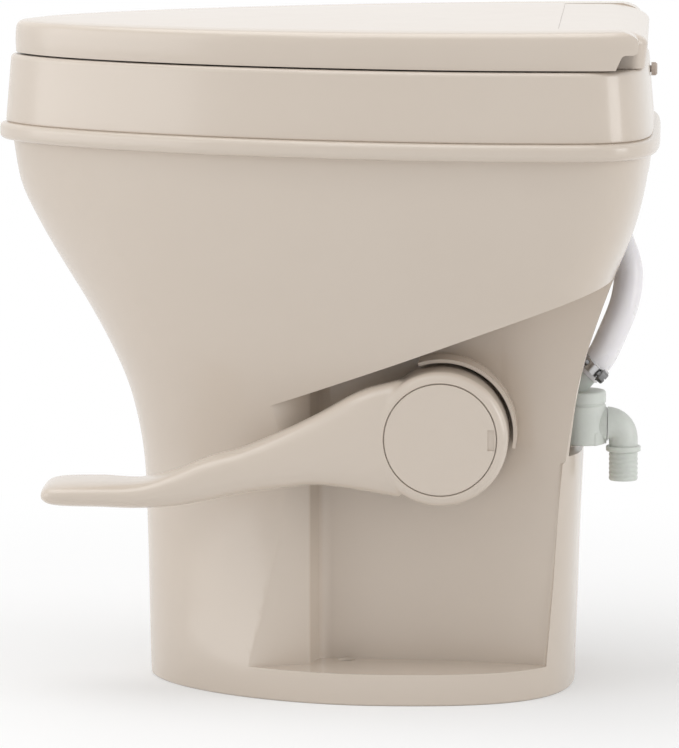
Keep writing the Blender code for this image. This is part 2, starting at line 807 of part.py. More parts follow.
def niche_plan(rear_x, rear_y, growth, flip):
    """Plan of a niche whose rear corner lies at the place given."""
    chain = [
        (NICHE_OUT_X, NICHE_OUT_FRONT_Y),
        (NICHE_LIP_X, NICHE_LIP_Y),
        (NICHE_EDGE_X, NICHE_EDGE_Y),
        (NICHE_CORNER_X, NICHE_CORNER_Y),
        (NICHE_MIDDLE_X, NICHE_MIDDLE_Y),
        (NICHE_WIDE_X, NICHE_WIDE_Y),
        (NICHE_BEND_X, NICHE_BEND_Y),
        (rear_x, rear_y),
        (NICHE_OUT_X, rear_y + NICHE_OUT_STEP),
    ]
    radii = (0.0, NICHE_EDGE_ROUNDING, NICHE_CORNER_ROUNDING, 0.0, 0.0, 0.0, NICHE_REAR_ROUNDING)
    points = offset_chain(rounded(chain, radii), growth)
    return mirrored(points) if flip else points


def niche(name, growth=0.0, flip=False):
    """A hollow that ends in a rear pillar below, and opens to the rear above the pillar."""
    low = niche_plan(NICHE_REAR_X, NICHE_REAR_Y, growth, flip)
    middle = niche_plan(NICHE_REAR_X, PILLAR_TOP_Y, growth, flip)
    high = niche_plan(NICHE_REAR_X, BAY_OUT, growth, flip)
    rise = growth / cos(NICHE_SLOPE)
    top = [(x, y, NICHE_TOP_Z + rise + tan(NICHE_SLOPE) * (y - NICHE_TOP_Y)) for x, y in high]
    rings = [at_height(low, NICHE_FLOOR - growth), at_height(middle, PILLAR_TOP_Z)]
    return loft(name, [*rings, at_height(high, PILLAR_CUT_Z), top], "steel")


def bay(name, growth, top):
    side = [
        (NICHE_WIDE_X - WALL + growth, BAY_FRONT - growth),
        (NICHE_REAR_X - WALL + growth, NICHE_REAR_Y),
        (NICHE_REAR_X - WALL + growth, BAY_OUT),
    ]
    points = side + mirrored(side)
    return prism(name, points, BAY_FLOOR - growth, top, "Z", "steel")


def bore(name, radius, low, high, where, sides=SMALL_SIDES):
    return rod(name, radius, low, high, where, "steel", sides)


def pedestal_shell():
    shell = loft("pedestal_shell", body_rings(0.0, BODY_HEIGHT), "bone_plastic")
    cut(shell, niche("niche_right"), niche("niche_left", flip=True))
    inner = COLLAR_RADIUS - COLLAR_THICKNESS
    band = arc(PEDAL_Y, PEDAL_Z, COLLAR_RADIUS, COLLAR_START, COLLAR_END, COLLAR_STEPS)
    band += arc(PEDAL_Y, PEDAL_Z, inner, COLLAR_END, COLLAR_START, COLLAR_STEPS)
    collar = prism("pedal_collar", band, NICHE_MIDDLE_X - OVERRUN, COLLAR_OUTER, "X", "steel")
    axle = place(y=PEDAL_Y, z=PEDAL_Z, axis="X")
    boss = bore("shaft_boss", HUB_BOSS_RADIUS, NICHE_MIDDLE_X - OVERRUN, HUB_BOSS_OUTER, axle, ROUND_SIDES)
    fuse(shell, collar, boss)
    upper = loft("upper_hollow", body_rings(DECK_TOP, BODY_HEIGHT + OVERRUN, WALL), "steel")
    lower = loft("lower_hollow", body_rings(-OVERRUN, DECK_TOP - WALL, WALL), "steel")
    walls = [niche("niche_wall_right", WALL), niche("niche_wall_left", WALL, True)]
    cut(upper, *walls, bay("bay_wall", WALL, PARTITION_TOP))
    cut(lower, *walls)
    cut(shell, upper, lower, bay("bay_space", 0.0, BAY_TOP))
    cut(shell, bore("shaft_bore", BUSHING_RADIUS + GAP, SHAFT_INNER, COLLAR_OUTER, axle, ROUND_SIDES))
    drain = place(y=DRAIN_Y)
    neck = NECK_RADIUS + OVERRUN
    deck = (DECK_TOP - WALL - OVERRUN, DECK_TOP + OVERRUN)
    cut(shell, bore("drain_opening", neck, *deck, drain, ROUND_SIDES))
    for side in (-1, 1):
        spot = place(side * BOLT_X, DRAIN_Y)
        label = "right" if side > 0 else "left"
        cut(shell, bore(f"floor_bolt_{label}", BOLT_HOLE_RADIUS, 0.0, NICHE_FLOOR + OVERRUN, spot))
    for label, (x, y) in housing_screw_spots().items():
        hole = bore(f"deck_hole_{label}", SCREW_RADIUS + GAP, *deck, place(x, y), SCREW_SIDES)
        cut(shell, hole)
    low = BAY_FRONT - WALL - OVERRUN
    high = BAY_FRONT + OVERRUN
    for label, (x, z) in (bracket_screw_spots() | valve_screw_spots()).items():
        spot = place(x=x, z=z, axis="Y")
        cut(shell, bore(f"partition_hole_{label}", SCREW_RADIUS + GAP, low, high, spot, SCREW_SIDES))
    stem = place(x=VALVE_X, z=PEDAL_Z, axis="Y")
    cut(shell, bore("stem_opening", BONNET_NOSE_RADIUS + GAP, low, high, stem))


def housing_screw_spots():
    return {"front": (0.0, DRAIN_Y - HOUSING_SCREW_REACH), "rear": (0.0, DRAIN_Y + HOUSING_SCREW_REACH)}


def bracket_screw_spots():
    low = (BRACKET_SCREW_HIGH_X, PEDAL_Z - BRACKET_SCREW_RISE)
    return {"low": low, "high": (BRACKET_SCREW_LOW_X, PEDAL_Z + BRACKET_SCREW_RISE)}


def valve_screw_spots():
    return {"inner": (VALVE_X - BONNET_EAR_X, PEDAL_Z), "outer": (VALVE_X + BONNET_EAR_X, PEDAL_Z)}


def funnel_rings(growth, bottom, top):
    """The bowl's surface, widened by the growth; straight below its first and above its last row."""
    rings = []
    rise = RIM_TOP - OUTLET_BOTTOM
    rows = [(OUTLET_BOTTOM + row[0] * rise, *row[1:]) for row in BOWL_SHARES]
    rows[-1] = (top, *rows[-1][1:])
    for z, front, rear, width in [(bottom, *rows[0][1:])] + rows:
        points = outline(
            mixed(OUTLET_RADIUS, BOWL_HALF_WIDTH, width) + growth,
            mixed(DRAIN_Y - OUTLET_RADIUS, BOWL_FRONT, front) - growth,
            mixed(DRAIN_Y + OUTLET_RADIUS, BOWL_REAR, rear) + growth,
            DRAIN_Y, BOWL_POWER, BOWL_POWER,
        )
        rings.append(at_height(points, z))
    return rings


def bowl():
    bead_top = BEAD_BOTTOM + BEAD_HEIGHT
    rows = (
        (BEAD_BOTTOM, BEAD_ROUNDING),
        (BEAD_BOTTOM + BEAD_ROUNDING, 0.0),
        (bead_top - BEAD_ROUNDING, 0.0),
        (bead_top, BEAD_ROUNDING),
        (bead_top, RIM_FOOT_INSET),
        (RIM_TOP - RIM_EDGE, RIM_TOP_INSET),
        (RIM_TOP - RIM_EDGE * EDGE_KNEE, RIM_TOP_INSET + RIM_EDGE * EDGE_KNEE),
        (RIM_TOP, RIM_TOP_INSET + RIM_EDGE),
    )
    made = loft("bowl", [at_height(bead_outline(inset), z) for z, inset in rows], "bone_plastic")
    ledge = bead_outline(BEAD_LEDGE)
    under = prism("rim_hollow", ledge, BEAD_BOTTOM - OVERRUN, RIM_TOP - WALL, "Z", "steel")
    cut(made, under)
    rings = funnel_rings(BOWL_WALL, OUTLET_BOTTOM + FLANGE_THICKNESS / 2, RIM_TOP - WALL / 2)
    funnel = loft("funnel_wall", rings, "steel")
    drain = place(y=DRAIN_Y)
    flange_top = OUTLET_BOTTOM + FLANGE_THICKNESS
    flange = bore("funnel_flange", FLANGE_RADIUS, OUTLET_BOTTOM, flange_top, drain, ROUND_SIDES)
    nozzle = place(x=BREAKER_X, z=NOZZLE_Z, axis="Y")
    boss = bore("nozzle_boss", NOZZLE_BOSS_RADIUS, NOZZLE_BOSS_FRONT, NOZZLE_BOSS_REAR, nozzle)
    fuse(funnel, flange, boss)
    fuse(made, funnel)
    cut(made, loft("bowl_space", funnel_rings(0.0, OUTLET_BOTTOM - OVERRUN, RIM_TOP + OVERRUN), "steel"))
    cut(made, bore("nozzle_hole", NOZZLE_RADIUS + GAP, DRAIN_Y, BAY_OUT, nozzle))
    for side in (-1, 1):
        label = "right" if side > 0 else "left"
        spot = place(side * HINGE_BOLT_X, HINGE_BOLT_Y)
        low = RIM_TOP - WALL - OVERRUN
        cut(made, bore(f"hinge_hole_{label}", HINGE_BOLT_RADIUS + GAP, low, RIM_TOP + OVERRUN, spot))
    peg = place(z=STOP_Z, axis="Y")
    inner = HALF_LENGTH - BEAD_LEDGE - OVERRUN
    cut(made, bore("stop_hole", STOP_PEG_RADIUS + GAP, inner, HALF_LENGTH, peg))


def ball_housing():
    bevel = HOUSING_TAPER_TOP - HOUSING_TAPER_BOTTOM
    foot_bottom = DECK_TOP + GAP
    foot_top = foot_bottom + HOUSING_FOOT_THICKNESS
    flange_bottom = HOUSING_TOP - FLANGE_THICKNESS
    profile = [
        (NECK_BORE, NECK_BOTTOM),
        (NECK_RADIUS, NECK_BOTTOM),
        (NECK_RADIUS, foot_bottom),
        (HOUSING_FOOT_RADIUS, foot_bottom),
        (HOUSING_FOOT_RADIUS, foot_top),
        (NECK_RADIUS, foot_top),
        (NECK_RADIUS, HOUSING_TAPER_BOTTOM),
        (HOUSING_RADIUS, HOUSING_TAPER_BOTTOM + bevel),
        (HOUSING_RADIUS, flange_bottom),
        (FLANGE_RADIUS, flange_bottom),
        (FLANGE_RADIUS, HOUSING_TOP),
        (HOUSING_BORE, HOUSING_TOP),
        (HOUSING_BORE, HOUSING_TAPER_BOTTOM + bevel),
        (NECK_BORE, HOUSING_TAPER_BOTTOM),
    ]
    made = turned("ball_housing", profile, place(y=DRAIN_Y), "pale_nylon", ROUND_SIDES)
    axle = place(y=DRAIN_Y, z=BALL_Z, axis="X")
    for side in (-1, 1):
        label = "right" if side > 0 else "left"
        ends = sorted((side * (HOUSING_RADIUS - WALL / 2), side * SHAFT_BOSS_END))
        fuse(made, bore(f"housing_boss_{label}", SHAFT_BOSS_RADIUS, *ends, axle))
    reach = SHAFT_BOSS_END + OVERRUN
    shaft = bore("housing_shaft_bore", BALL_SHAFT_RADIUS + GAP, -reach, reach, axle)
    cut(made, shaft)
    deep = SHAFT_BOSS_END - SHAFT_SEAL_WIDTH
    cut(made, bore("seal_recess", SHAFT_SEAL_RADIUS + GAP, deep, reach + OVERRUN, axle))
    for label, (x, y) in housing_screw_spots().items():
        ends = (foot_bottom - OVERRUN, foot_top + OVERRUN)
        cut(made, bore(f"foot_hole_{label}", SCREW_RADIUS + GAP, *ends, place(x, y), SCREW_SIDES))


def bowl_seal():
    low = HOUSING_TOP + GAP
    high = low + SEAL_THICKNESS
    rim = FLANGE_RADIUS - GAP
    profile = [(SEAL_LIP_RADIUS, low), (rim, low), (rim, high), (SEAL_LIP_RADIUS, high)]
    turned("bowl_seal", profile, place(y=DRAIN_Y), "black_rubber", ROUND_SIDES)


def clamp_band():
    low = HOUSING_TOP - FLANGE_THICKNESS
    high = OUTLET_BOTTOM + FLANGE_THICKNESS
    inner = FLANGE_RADIUS + GAP
    lip = inner - BAND_LIP
    thick = BAND_RADIUS - inner
    profile = [
        (lip, low - GAP), (inner, low - GAP), (inner, high + GAP), (lip, high + GAP),
        (lip, high + GAP + thick / 2), (BAND_RADIUS, high + GAP + thick / 2),
        (BAND_RADIUS, low - GAP - thick / 2), (lip, low - GAP - thick / 2),
    ]
    made = turned("clamp_band", profile, place(y=DRAIN_Y), "steel", ROUND_SIDES)
    front = DRAIN_Y - BAND_RADIUS
    half = BAND_SPLIT / 2
    lugs = bmesh.new()
    for side in (-1, 1):
        ends = sorted((side * half, side * (half + BAND_LUG_THICKNESS)))
        add_block(lugs, (ends[0], front - BAND_LUG_REACH, low), (ends[1], front + thick, high))
    fuse(made, tool_object("band_lugs", lugs))
    split = bmesh.new()
    add_block(split, (-half, front - OVERRUN, low - OVERRUN), (half, front + BAND_LUG_REACH, high + OVERRUN))
    cut(made, tool_object("band_split", split))
    spot = place(y=front - BAND_LUG_REACH / 2, z=(low + high) / 2, axis="X")
    reach = half + BAND_LUG_THICKNESS + OVERRUN
    cut(made, bore("band_screw_hole", BAND_SCREW_RADIUS + GAP, -reach, reach, spot))
    head = half + BAND_LUG_THICKNESS + GAP
    profile = [
        (0, -reach), (BAND_SCREW_RADIUS, -reach), (BAND_SCREW_RADIUS, head),
        (BAND_SCREW_HEAD, head), (BAND_SCREW_HEAD, head + SCREW_HEAD_HEIGHT), (0, head + SCREW_HEAD_HEIGHT),
    ]
    turned("clamp_band_screw", profile, spot, "steel")


def flush_ball():
    inner = BALL_RADIUS - BALL_THICKNESS
    profile = arc(0.0, 0.0, BALL_RADIUS, BALL_POLE_ANGLE, pi - BALL_POLE_ANGLE, BALL_STEPS)
    profile += arc(0.0, 0.0, inner, pi - BALL_POLE_ANGLE, BALL_POLE_ANGLE, BALL_STEPS)
    rings = []
    for step in range(BALL_STEPS + 1):
        angle = mixed(-BALL_OPEN_ANGLE / 2, BALL_OPEN_ANGLE / 2, step / BALL_STEPS)
        spin = Vector((sin(angle), cos(angle)))
        rings.append([(x, DRAIN_Y + reach * spin.x, BALL_Z + reach * spin.y) for x, reach in profile])
    made = loft("flush_ball", rings, "pale_nylon")
    axle = place(y=DRAIN_Y, z=BALL_Z, axis="X")
    for side in (-1, 1):
        label = "right" if side > 0 else "left"
        ends = sorted((side * BALL_SHAFT_INNER, side * BALL_BOSS_END))
        fuse(made, bore(f"trunnion_{label}", BALL_BOSS_RADIUS, *ends, axle))
        ends = sorted((0.0, side * BALL_RADIUS))
        cut(made, bore(f"trunnion_bore_{label}", BALL_SHAFT_RADIUS + GAP, *ends, axle))
    end = GEAR_INNER + GEAR_WIDTH
    rod("ball_drive_shaft", BALL_SHAFT_RADIUS, BALL_SHAFT_INNER, end, axle, "grey_acetal")
    rod("ball_idle_pin", BALL_SHAFT_RADIUS, -IDLE_PIN_END, -BALL_SHAFT_INNER, axle, "grey_acetal")
    low = SHAFT_BOSS_END - SHAFT_SEAL_WIDTH + GAP
    inner = BALL_SHAFT_RADIUS + GAP
    outer = SHAFT_SEAL_RADIUS
    profile = [(inner, low), (outer, low), (outer, SHAFT_BOSS_END), (inner, SHAFT_BOSS_END)]
    turned("shaft_seal", profile, axle, "black_rubber")


def tooth(teeth, middle):
    """Corners of one involute tooth, counter-clockwise, as (radius, angle) round the gear's centre."""
    pitch = GEAR_MODULE * teeth / 2
    base = pitch * cos(PRESSURE_ANGLE)
    tip = pitch + ADDENDUM_SHARE * GEAR_MODULE
    half = pi / teeth / 2 - BACKLASH / 4 / pitch + tan(PRESSURE_ANGLE) - PRESSURE_ANGLE
    root = pitch - DEDENDUM_SHARE * GEAR_MODULE
    flank = [(root, half)]
    for step in range(FLANK_STEPS + 1):
        radius = mixed(max(base, root), tip, step / FLANK_STEPS)
        roll = sqrt(max((radius / base) ** 2 - 1, 0.0))
        flank.append((radius, half - roll + atan(roll)))
    right = [(radius, middle - angle) for radius, angle in flank]
    left = [(radius, middle + angle) for radius, angle in reversed(flank)]
    return right + left


def gears():
    line = atan2(BALL_Z - PEDAL_Z, DRAIN_Y - PEDAL_Y)
    polar = []
    for index in range(PINION_TEETH):
        polar += tooth(PINION_TEETH, line + pi + pi / PINION_TEETH * (2 * index + 1))
    points = [(DRAIN_Y + r * cos(a), BALL_Z + r * sin(a)) for r, a in polar]
    gear_outer = GEAR_INNER + GEAR_WIDTH
    pinion = prism("ball_pinion", points, GEAR_INNER, gear_outer, "X", "grey_acetal")
    ball_axle = place(y=DRAIN_Y, z=BALL_Z, axis="X")
    cut(pinion, bore("pinion_bore", BALL_SHAFT_RADIUS + GAP, BALL_RADIUS, HUB_BOSS_OUTER, ball_axle))
    polar = []
    for index in range(SECTOR_KEPT):
        polar += tooth(SECTOR_TEETH, line + 2 * pi / SECTOR_TEETH * (SECTOR_FIRST + index))
    points = [(PEDAL_Y + r * cos(a), PEDAL_Z + r * sin(a)) for r, a in polar]
    first = polar[0][1] - SECTOR_MARGIN
    last = polar[-1][1] + SECTOR_MARGIN
    root = polar[0][0]
    points = [(PEDAL_Y + root * cos(first), PEDAL_Z + root * sin(first))] + points
    points.append((PEDAL_Y + root * cos(last), PEDAL_Z + root * sin(last)))
    margin = SECTOR_MARGIN * 2
    points += arc(PEDAL_Y, PEDAL_Z, GEAR_HUB_RADIUS, last + margin, first - margin + 2 * pi, HUB_STEPS)
    axle = place(y=PEDAL_Y, z=PEDAL_Z, axis="X")
    sector = prism("sector_gear", points, GEAR_INNER, gear_outer, "X", "grey_acetal")
    hub = bore("sector_hub", GEAR_HUB_RADIUS, SECTOR_HUB_INNER, BUSHING_INNER - GAP, axle)
    fuse(sector, hub)
    cut(sector, bore("sector_bore", SHAFT_RADIUS + GAP, SHAFT_INNER, HUB_BOSS_OUTER, axle))


def pedal_shaft():
    axle = place(y=PEDAL_Y, z=PEDAL_Z, axis="X")
    groove = EAR_OUTER + GAP
    deep = SHAFT_RADIUS - GROOVE_DEPTH
    hole = PEDAL_SCREW_RADIUS + GAP
    bottom = SHAFT_OUTER - PEDAL_SCREW_DEPTH
    profile = [
        (0, SHAFT_INNER), (SHAFT_RADIUS, SHAFT_INNER), (SHAFT_RADIUS, groove), (deep, groove),
        (deep, groove + CLIP_THICKNESS + GAP * 2), (SHAFT_RADIUS, groove + CLIP_THICKNESS + GAP * 2),
        (SHAFT_RADIUS, SHAFT_OUTER), (hole, SHAFT_OUTER), (hole, bottom), (0, bottom),
    ]
    turned("pedal_shaft", profile, axle, "steel")
    low = groove + GAP
    high = low + CLIP_THICKNESS
    profile = [(deep + GAP, low), (CLIP_RADIUS, low), (CLIP_RADIUS, high), (deep + GAP, high)]
    clip = turned("shaft_clip", profile, axle, "steel")
    mouth = bmesh.new()
    half = deep * CLIP_MOUTH_SHARE
    corner = (low - OVERRUN, PEDAL_Y - half, PEDAL_Z - CLIP_RADIUS - OVERRUN)
    add_block(mouth, corner, (high + OVERRUN, PEDAL_Y + half, PEDAL_Z))
    cut(clip, tool_object("clip_mouth", mouth))
    outer = HUB_BOSS_OUTER + BUSHING_FLANGE - GAP * 2
    bore_radius = SHAFT_RADIUS + GAP
    profile = [
        (bore_radius, BUSHING_INNER), (BUSHING_FLANGE_RADIUS, BUSHING_INNER),
        (BUSHING_FLANGE_RADIUS, BUSHING_INNER + BUSHING_FLANGE),
        (BUSHING_RADIUS, BUSHING_INNER + BUSHING_FLANGE), (BUSHING_RADIUS, outer), (bore_radius, outer),
    ]
    turned("pedal_bushing", profile, axle, "grey_acetal", ROUND_SIDES)


def shaft_bracket():
    rear = BAY_FRONT - WALL - GAP
    front = rear - BRACKET_THICKNESS
    bm = bmesh.new()
    low = PEDAL_Z - BRACKET_HALF_HEIGHT
    high = PEDAL_Z + BRACKET_HALF_HEIGHT
    add_block(bm, (BRACKET_LOW_X, front, low), (BRACKET_HIGH_X, rear, high))
    made = finish_object("shaft_bracket", bm, "steel")
    ear = arc(PEDAL_Y, PEDAL_Z, EAR_RADIUS, pi / 2, 3 * pi / 2, EAR_STEPS)
    ear += [(front + OVERRUN, PEDAL_Z - EAR_RADIUS), (front + OVERRUN, PEDAL_Z + EAR_RADIUS)]
    fuse(made, prism("bracket_ear", ear, SHAFT_INNER, EAR_OUTER, "X", "steel"))
    axle = place(y=PEDAL_Y, z=PEDAL_Z, axis="X")
    cut(made, bore("ear_bore", SHAFT_RADIUS + GAP, BRACKET_LOW_X, BRACKET_HIGH_X, axle))
    for label, (x, z) in (bracket_screw_spots() | valve_screw_spots()).items():
        spot = place(x=x, z=z, axis="Y")
        ends = (front - OVERRUN, rear + OVERRUN)
        hole = bore(f"bracket_hole_{label}", SCREW_RADIUS + GAP, *ends, spot, SCREW_SIDES)
        cut(made, hole)
    nose = place(x=VALVE_X, z=PEDAL_Z, axis="Y")
    cut(made, bore("bracket_nose_hole", BONNET_NOSE_RADIUS + GAP, front - OVERRUN, rear + OVERRUN, nose))
    for label, (x, z) in bracket_screw_spots().items():
        screw(f"bracket_screw_{label}", front, BAY_FRONT + GAP, place(x=x, z=z, axis="Y"))


def screw(name, tip, head, where):
    """A pan-head screw from its tip to the underside of its head and on."""
    high = head + SCREW_HEAD_HEIGHT
    crown = SCREW_HEAD_RADIUS * HEAD_CROWN_SHARE
    profile = [
        (0, tip), (SCREW_RADIUS, tip), (SCREW_RADIUS, head), (SCREW_HEAD_RADIUS, head),
        (SCREW_HEAD_RADIUS, mixed(head, high, HEAD_CROWN_SHARE)), (crown, high), (0, high),
    ]
    return turned(name, profile, where, "steel", SCREW_SIDES)


def return_spring():
    count = SPRING_TURNS * SPRING_SEGMENTS
    points = [(SPRING_INNER, PEDAL_Y + SPRING_LEG, PEDAL_Z - SPRING_RADIUS)]
    for step in range(count + 1):
        angle = -pi / 2 - 2 * pi * step / SPRING_SEGMENTS
        x = SPRING_INNER + SPRING_PITCH * step / SPRING_SEGMENTS
        points.append((x, PEDAL_Y + SPRING_RADIUS * cos(angle), PEDAL_Z + SPRING_RADIUS * sin(angle)))
    points.append((points[-1][0], PEDAL_Y - SPRING_SHORT_LEG, PEDAL_Z - SPRING_RADIUS))
    bm = bmesh.new()
    add_tube(bm, points, SPRING_WIRE, WIRE_SIDES)
    finish_object("return_spring", bm, "steel")


def valve_cam():
    points = []
    for step in range(CAM_STEPS):
        angle = 2 * pi * step / CAM_STEPS
        points.append((PEDAL_Y + cam_radius(angle) * cos(angle), PEDAL_Z + cam_radius(angle) * sin(angle)))
    made = prism("valve_cam", points, CAM_INNER, CAM_INNER + CAM_WIDTH, "X", "grey_acetal")
    axle = place(y=PEDAL_Y, z=PEDAL_Z, axis="X")
    cut(made, bore("cam_bore", SHAFT_RADIUS + GAP, SHAFT_INNER, HUB_BOSS_OUTER, axle))


def cam_radius(angle):
    """Rises as the pedal goes down, holds a little further, and falls back to the base circle."""
    turn = 2 * pi - angle if angle > pi else -angle
    top = CAM_START_RADIUS + CAM_LIFT
    if turn < 0:
        share = min(-turn / CAM_FALL, 1.0)
        return mixed(CAM_START_RADIUS, CAM_BASE_RADIUS, share)
    if turn <= PEDAL_TRAVEL:
        return CAM_START_RADIUS + CAM_LIFT * turn / PEDAL_TRAVEL
    share = min(max((turn - PEDAL_TRAVEL - CAM_HOLD) / CAM_FALL, 0.0), 1.0)
    return mixed(top, CAM_BASE_RADIUS, share)


def pedal():
    axle = place(y=PEDAL_Y, z=PEDAL_Z, axis="X")
    knee = HUB_EDGE * EDGE_KNEE
    profile = [
        (0, HUB_INNER), (HUB_RADIUS, HUB_INNER), (HUB_RADIUS, HUB_OUTER - HUB_EDGE),
        (HUB_RADIUS - knee, HUB_OUTER - knee), (HUB_RADIUS - HUB_EDGE, HUB_OUTER), (0, HUB_OUTER),
    ]
    made = turned("pedal_arm", profile, axle, "bone_plastic", SIDES)
    rings = []
    rise = ARM_HIGH - ARM_LOW
    for share, top, bottom, widening, narrowing in ARM_SHARES:
        outer = HUB_OUTER - TIP_INSET * narrowing
        inner = HUB_OUTER - mixed(ARM_WIDTH, PAD_WIDTH, widening) + TIP_INSET * narrowing
        middle_x = (outer + inner) / 2
        middle_z = ARM_LOW + rise * (top + bottom) / 2
        half_x = (outer - inner) / 2
        half_z = rise * (top - bottom) / 2
        y = PEDAL_Y - share * ARM_REACH
        ring = []
        for step in range(ARM_SIDES):
            angle = 2 * pi * (step + HALF) / ARM_SIDES
            power = 2 / ARM_ROUNDING_POWER
            x = middle_x + half_x * copysign(abs(cos(angle)) ** power, cos(angle))
            ring.append((x, y, middle_z + half_z * copysign(abs(sin(angle)) ** power, sin(angle))))
        rings.append(ring)
    fuse(made, loft("arm_bar", rings, "steel"))
    web = HUB_OUTER - CAP_THICKNESS - GAP
    profile = [
        (HUB_SOCKET_RADIUS, HUB_SOCKET_INNER), (HUB_SOCKET_RADIUS, HUB_WEB), (HUB_CAVITY_RADIUS, HUB_WEB),
        (HUB_CAVITY_RADIUS, HUB_INNER - OVERRUN), (0, HUB_INNER - OVERRUN), (0, HUB_SOCKET_INNER),
    ]
    cut(made, turned("hub_space", profile, axle, "steel", ROUND_SIDES))
    cut(made, bore("hub_socket_bore", SHAFT_RADIUS + GAP, HUB_INNER - OVERRUN, SHAFT_OUTER + GAP, axle))
    cut(made, bore("cap_recess", CAP_RECESS_RADIUS, web, HUB_OUTER + OVERRUN, axle, SIDES))
    head_low = web - PEDAL_SCREW_HEIGHT - GAP
    cut(made, bore("screw_head_space", PEDAL_SCREW_HEAD + GAP, head_low, web + OVERRUN, axle))
    cut(made, bore("screw_hole", PEDAL_SCREW_RADIUS + GAP, SHAFT_OUTER, web, axle))
    head = head_low + GAP
    tip = SHAFT_OUTER - PEDAL_SCREW_DEPTH + GAP
    profile = [
        (0, tip), (PEDAL_SCREW_RADIUS, tip), (PEDAL_SCREW_RADIUS, head), (PEDAL_SCREW_HEAD, head),
        (PEDAL_SCREW_HEAD, head + PEDAL_SCREW_HEIGHT - GAP), (0, head + PEDAL_SCREW_HEIGHT - GAP),
    ]
    turned("pedal_screw", profile, axle, "steel")
    cap = rod("pedal_cap", CAP_RADIUS, web + GAP, HUB_OUTER, axle, "bone_plastic", SIDES)
    rear = PEDAL_Y + CAP_RADIUS - CAP_SLOT_INSET
    half = CAP_SLOT_HEIGHT / 2
    slot = bmesh.new()
    low = (HUB_OUTER - CAP_SLOT_DEPTH, rear - CAP_SLOT_WIDTH, PEDAL_Z - half)
    add_block(slot, low, (HUB_OUTER + OVERRUN, rear, PEDAL_Z + half))
    cut(cap, tool_object("cap_slot", slot))


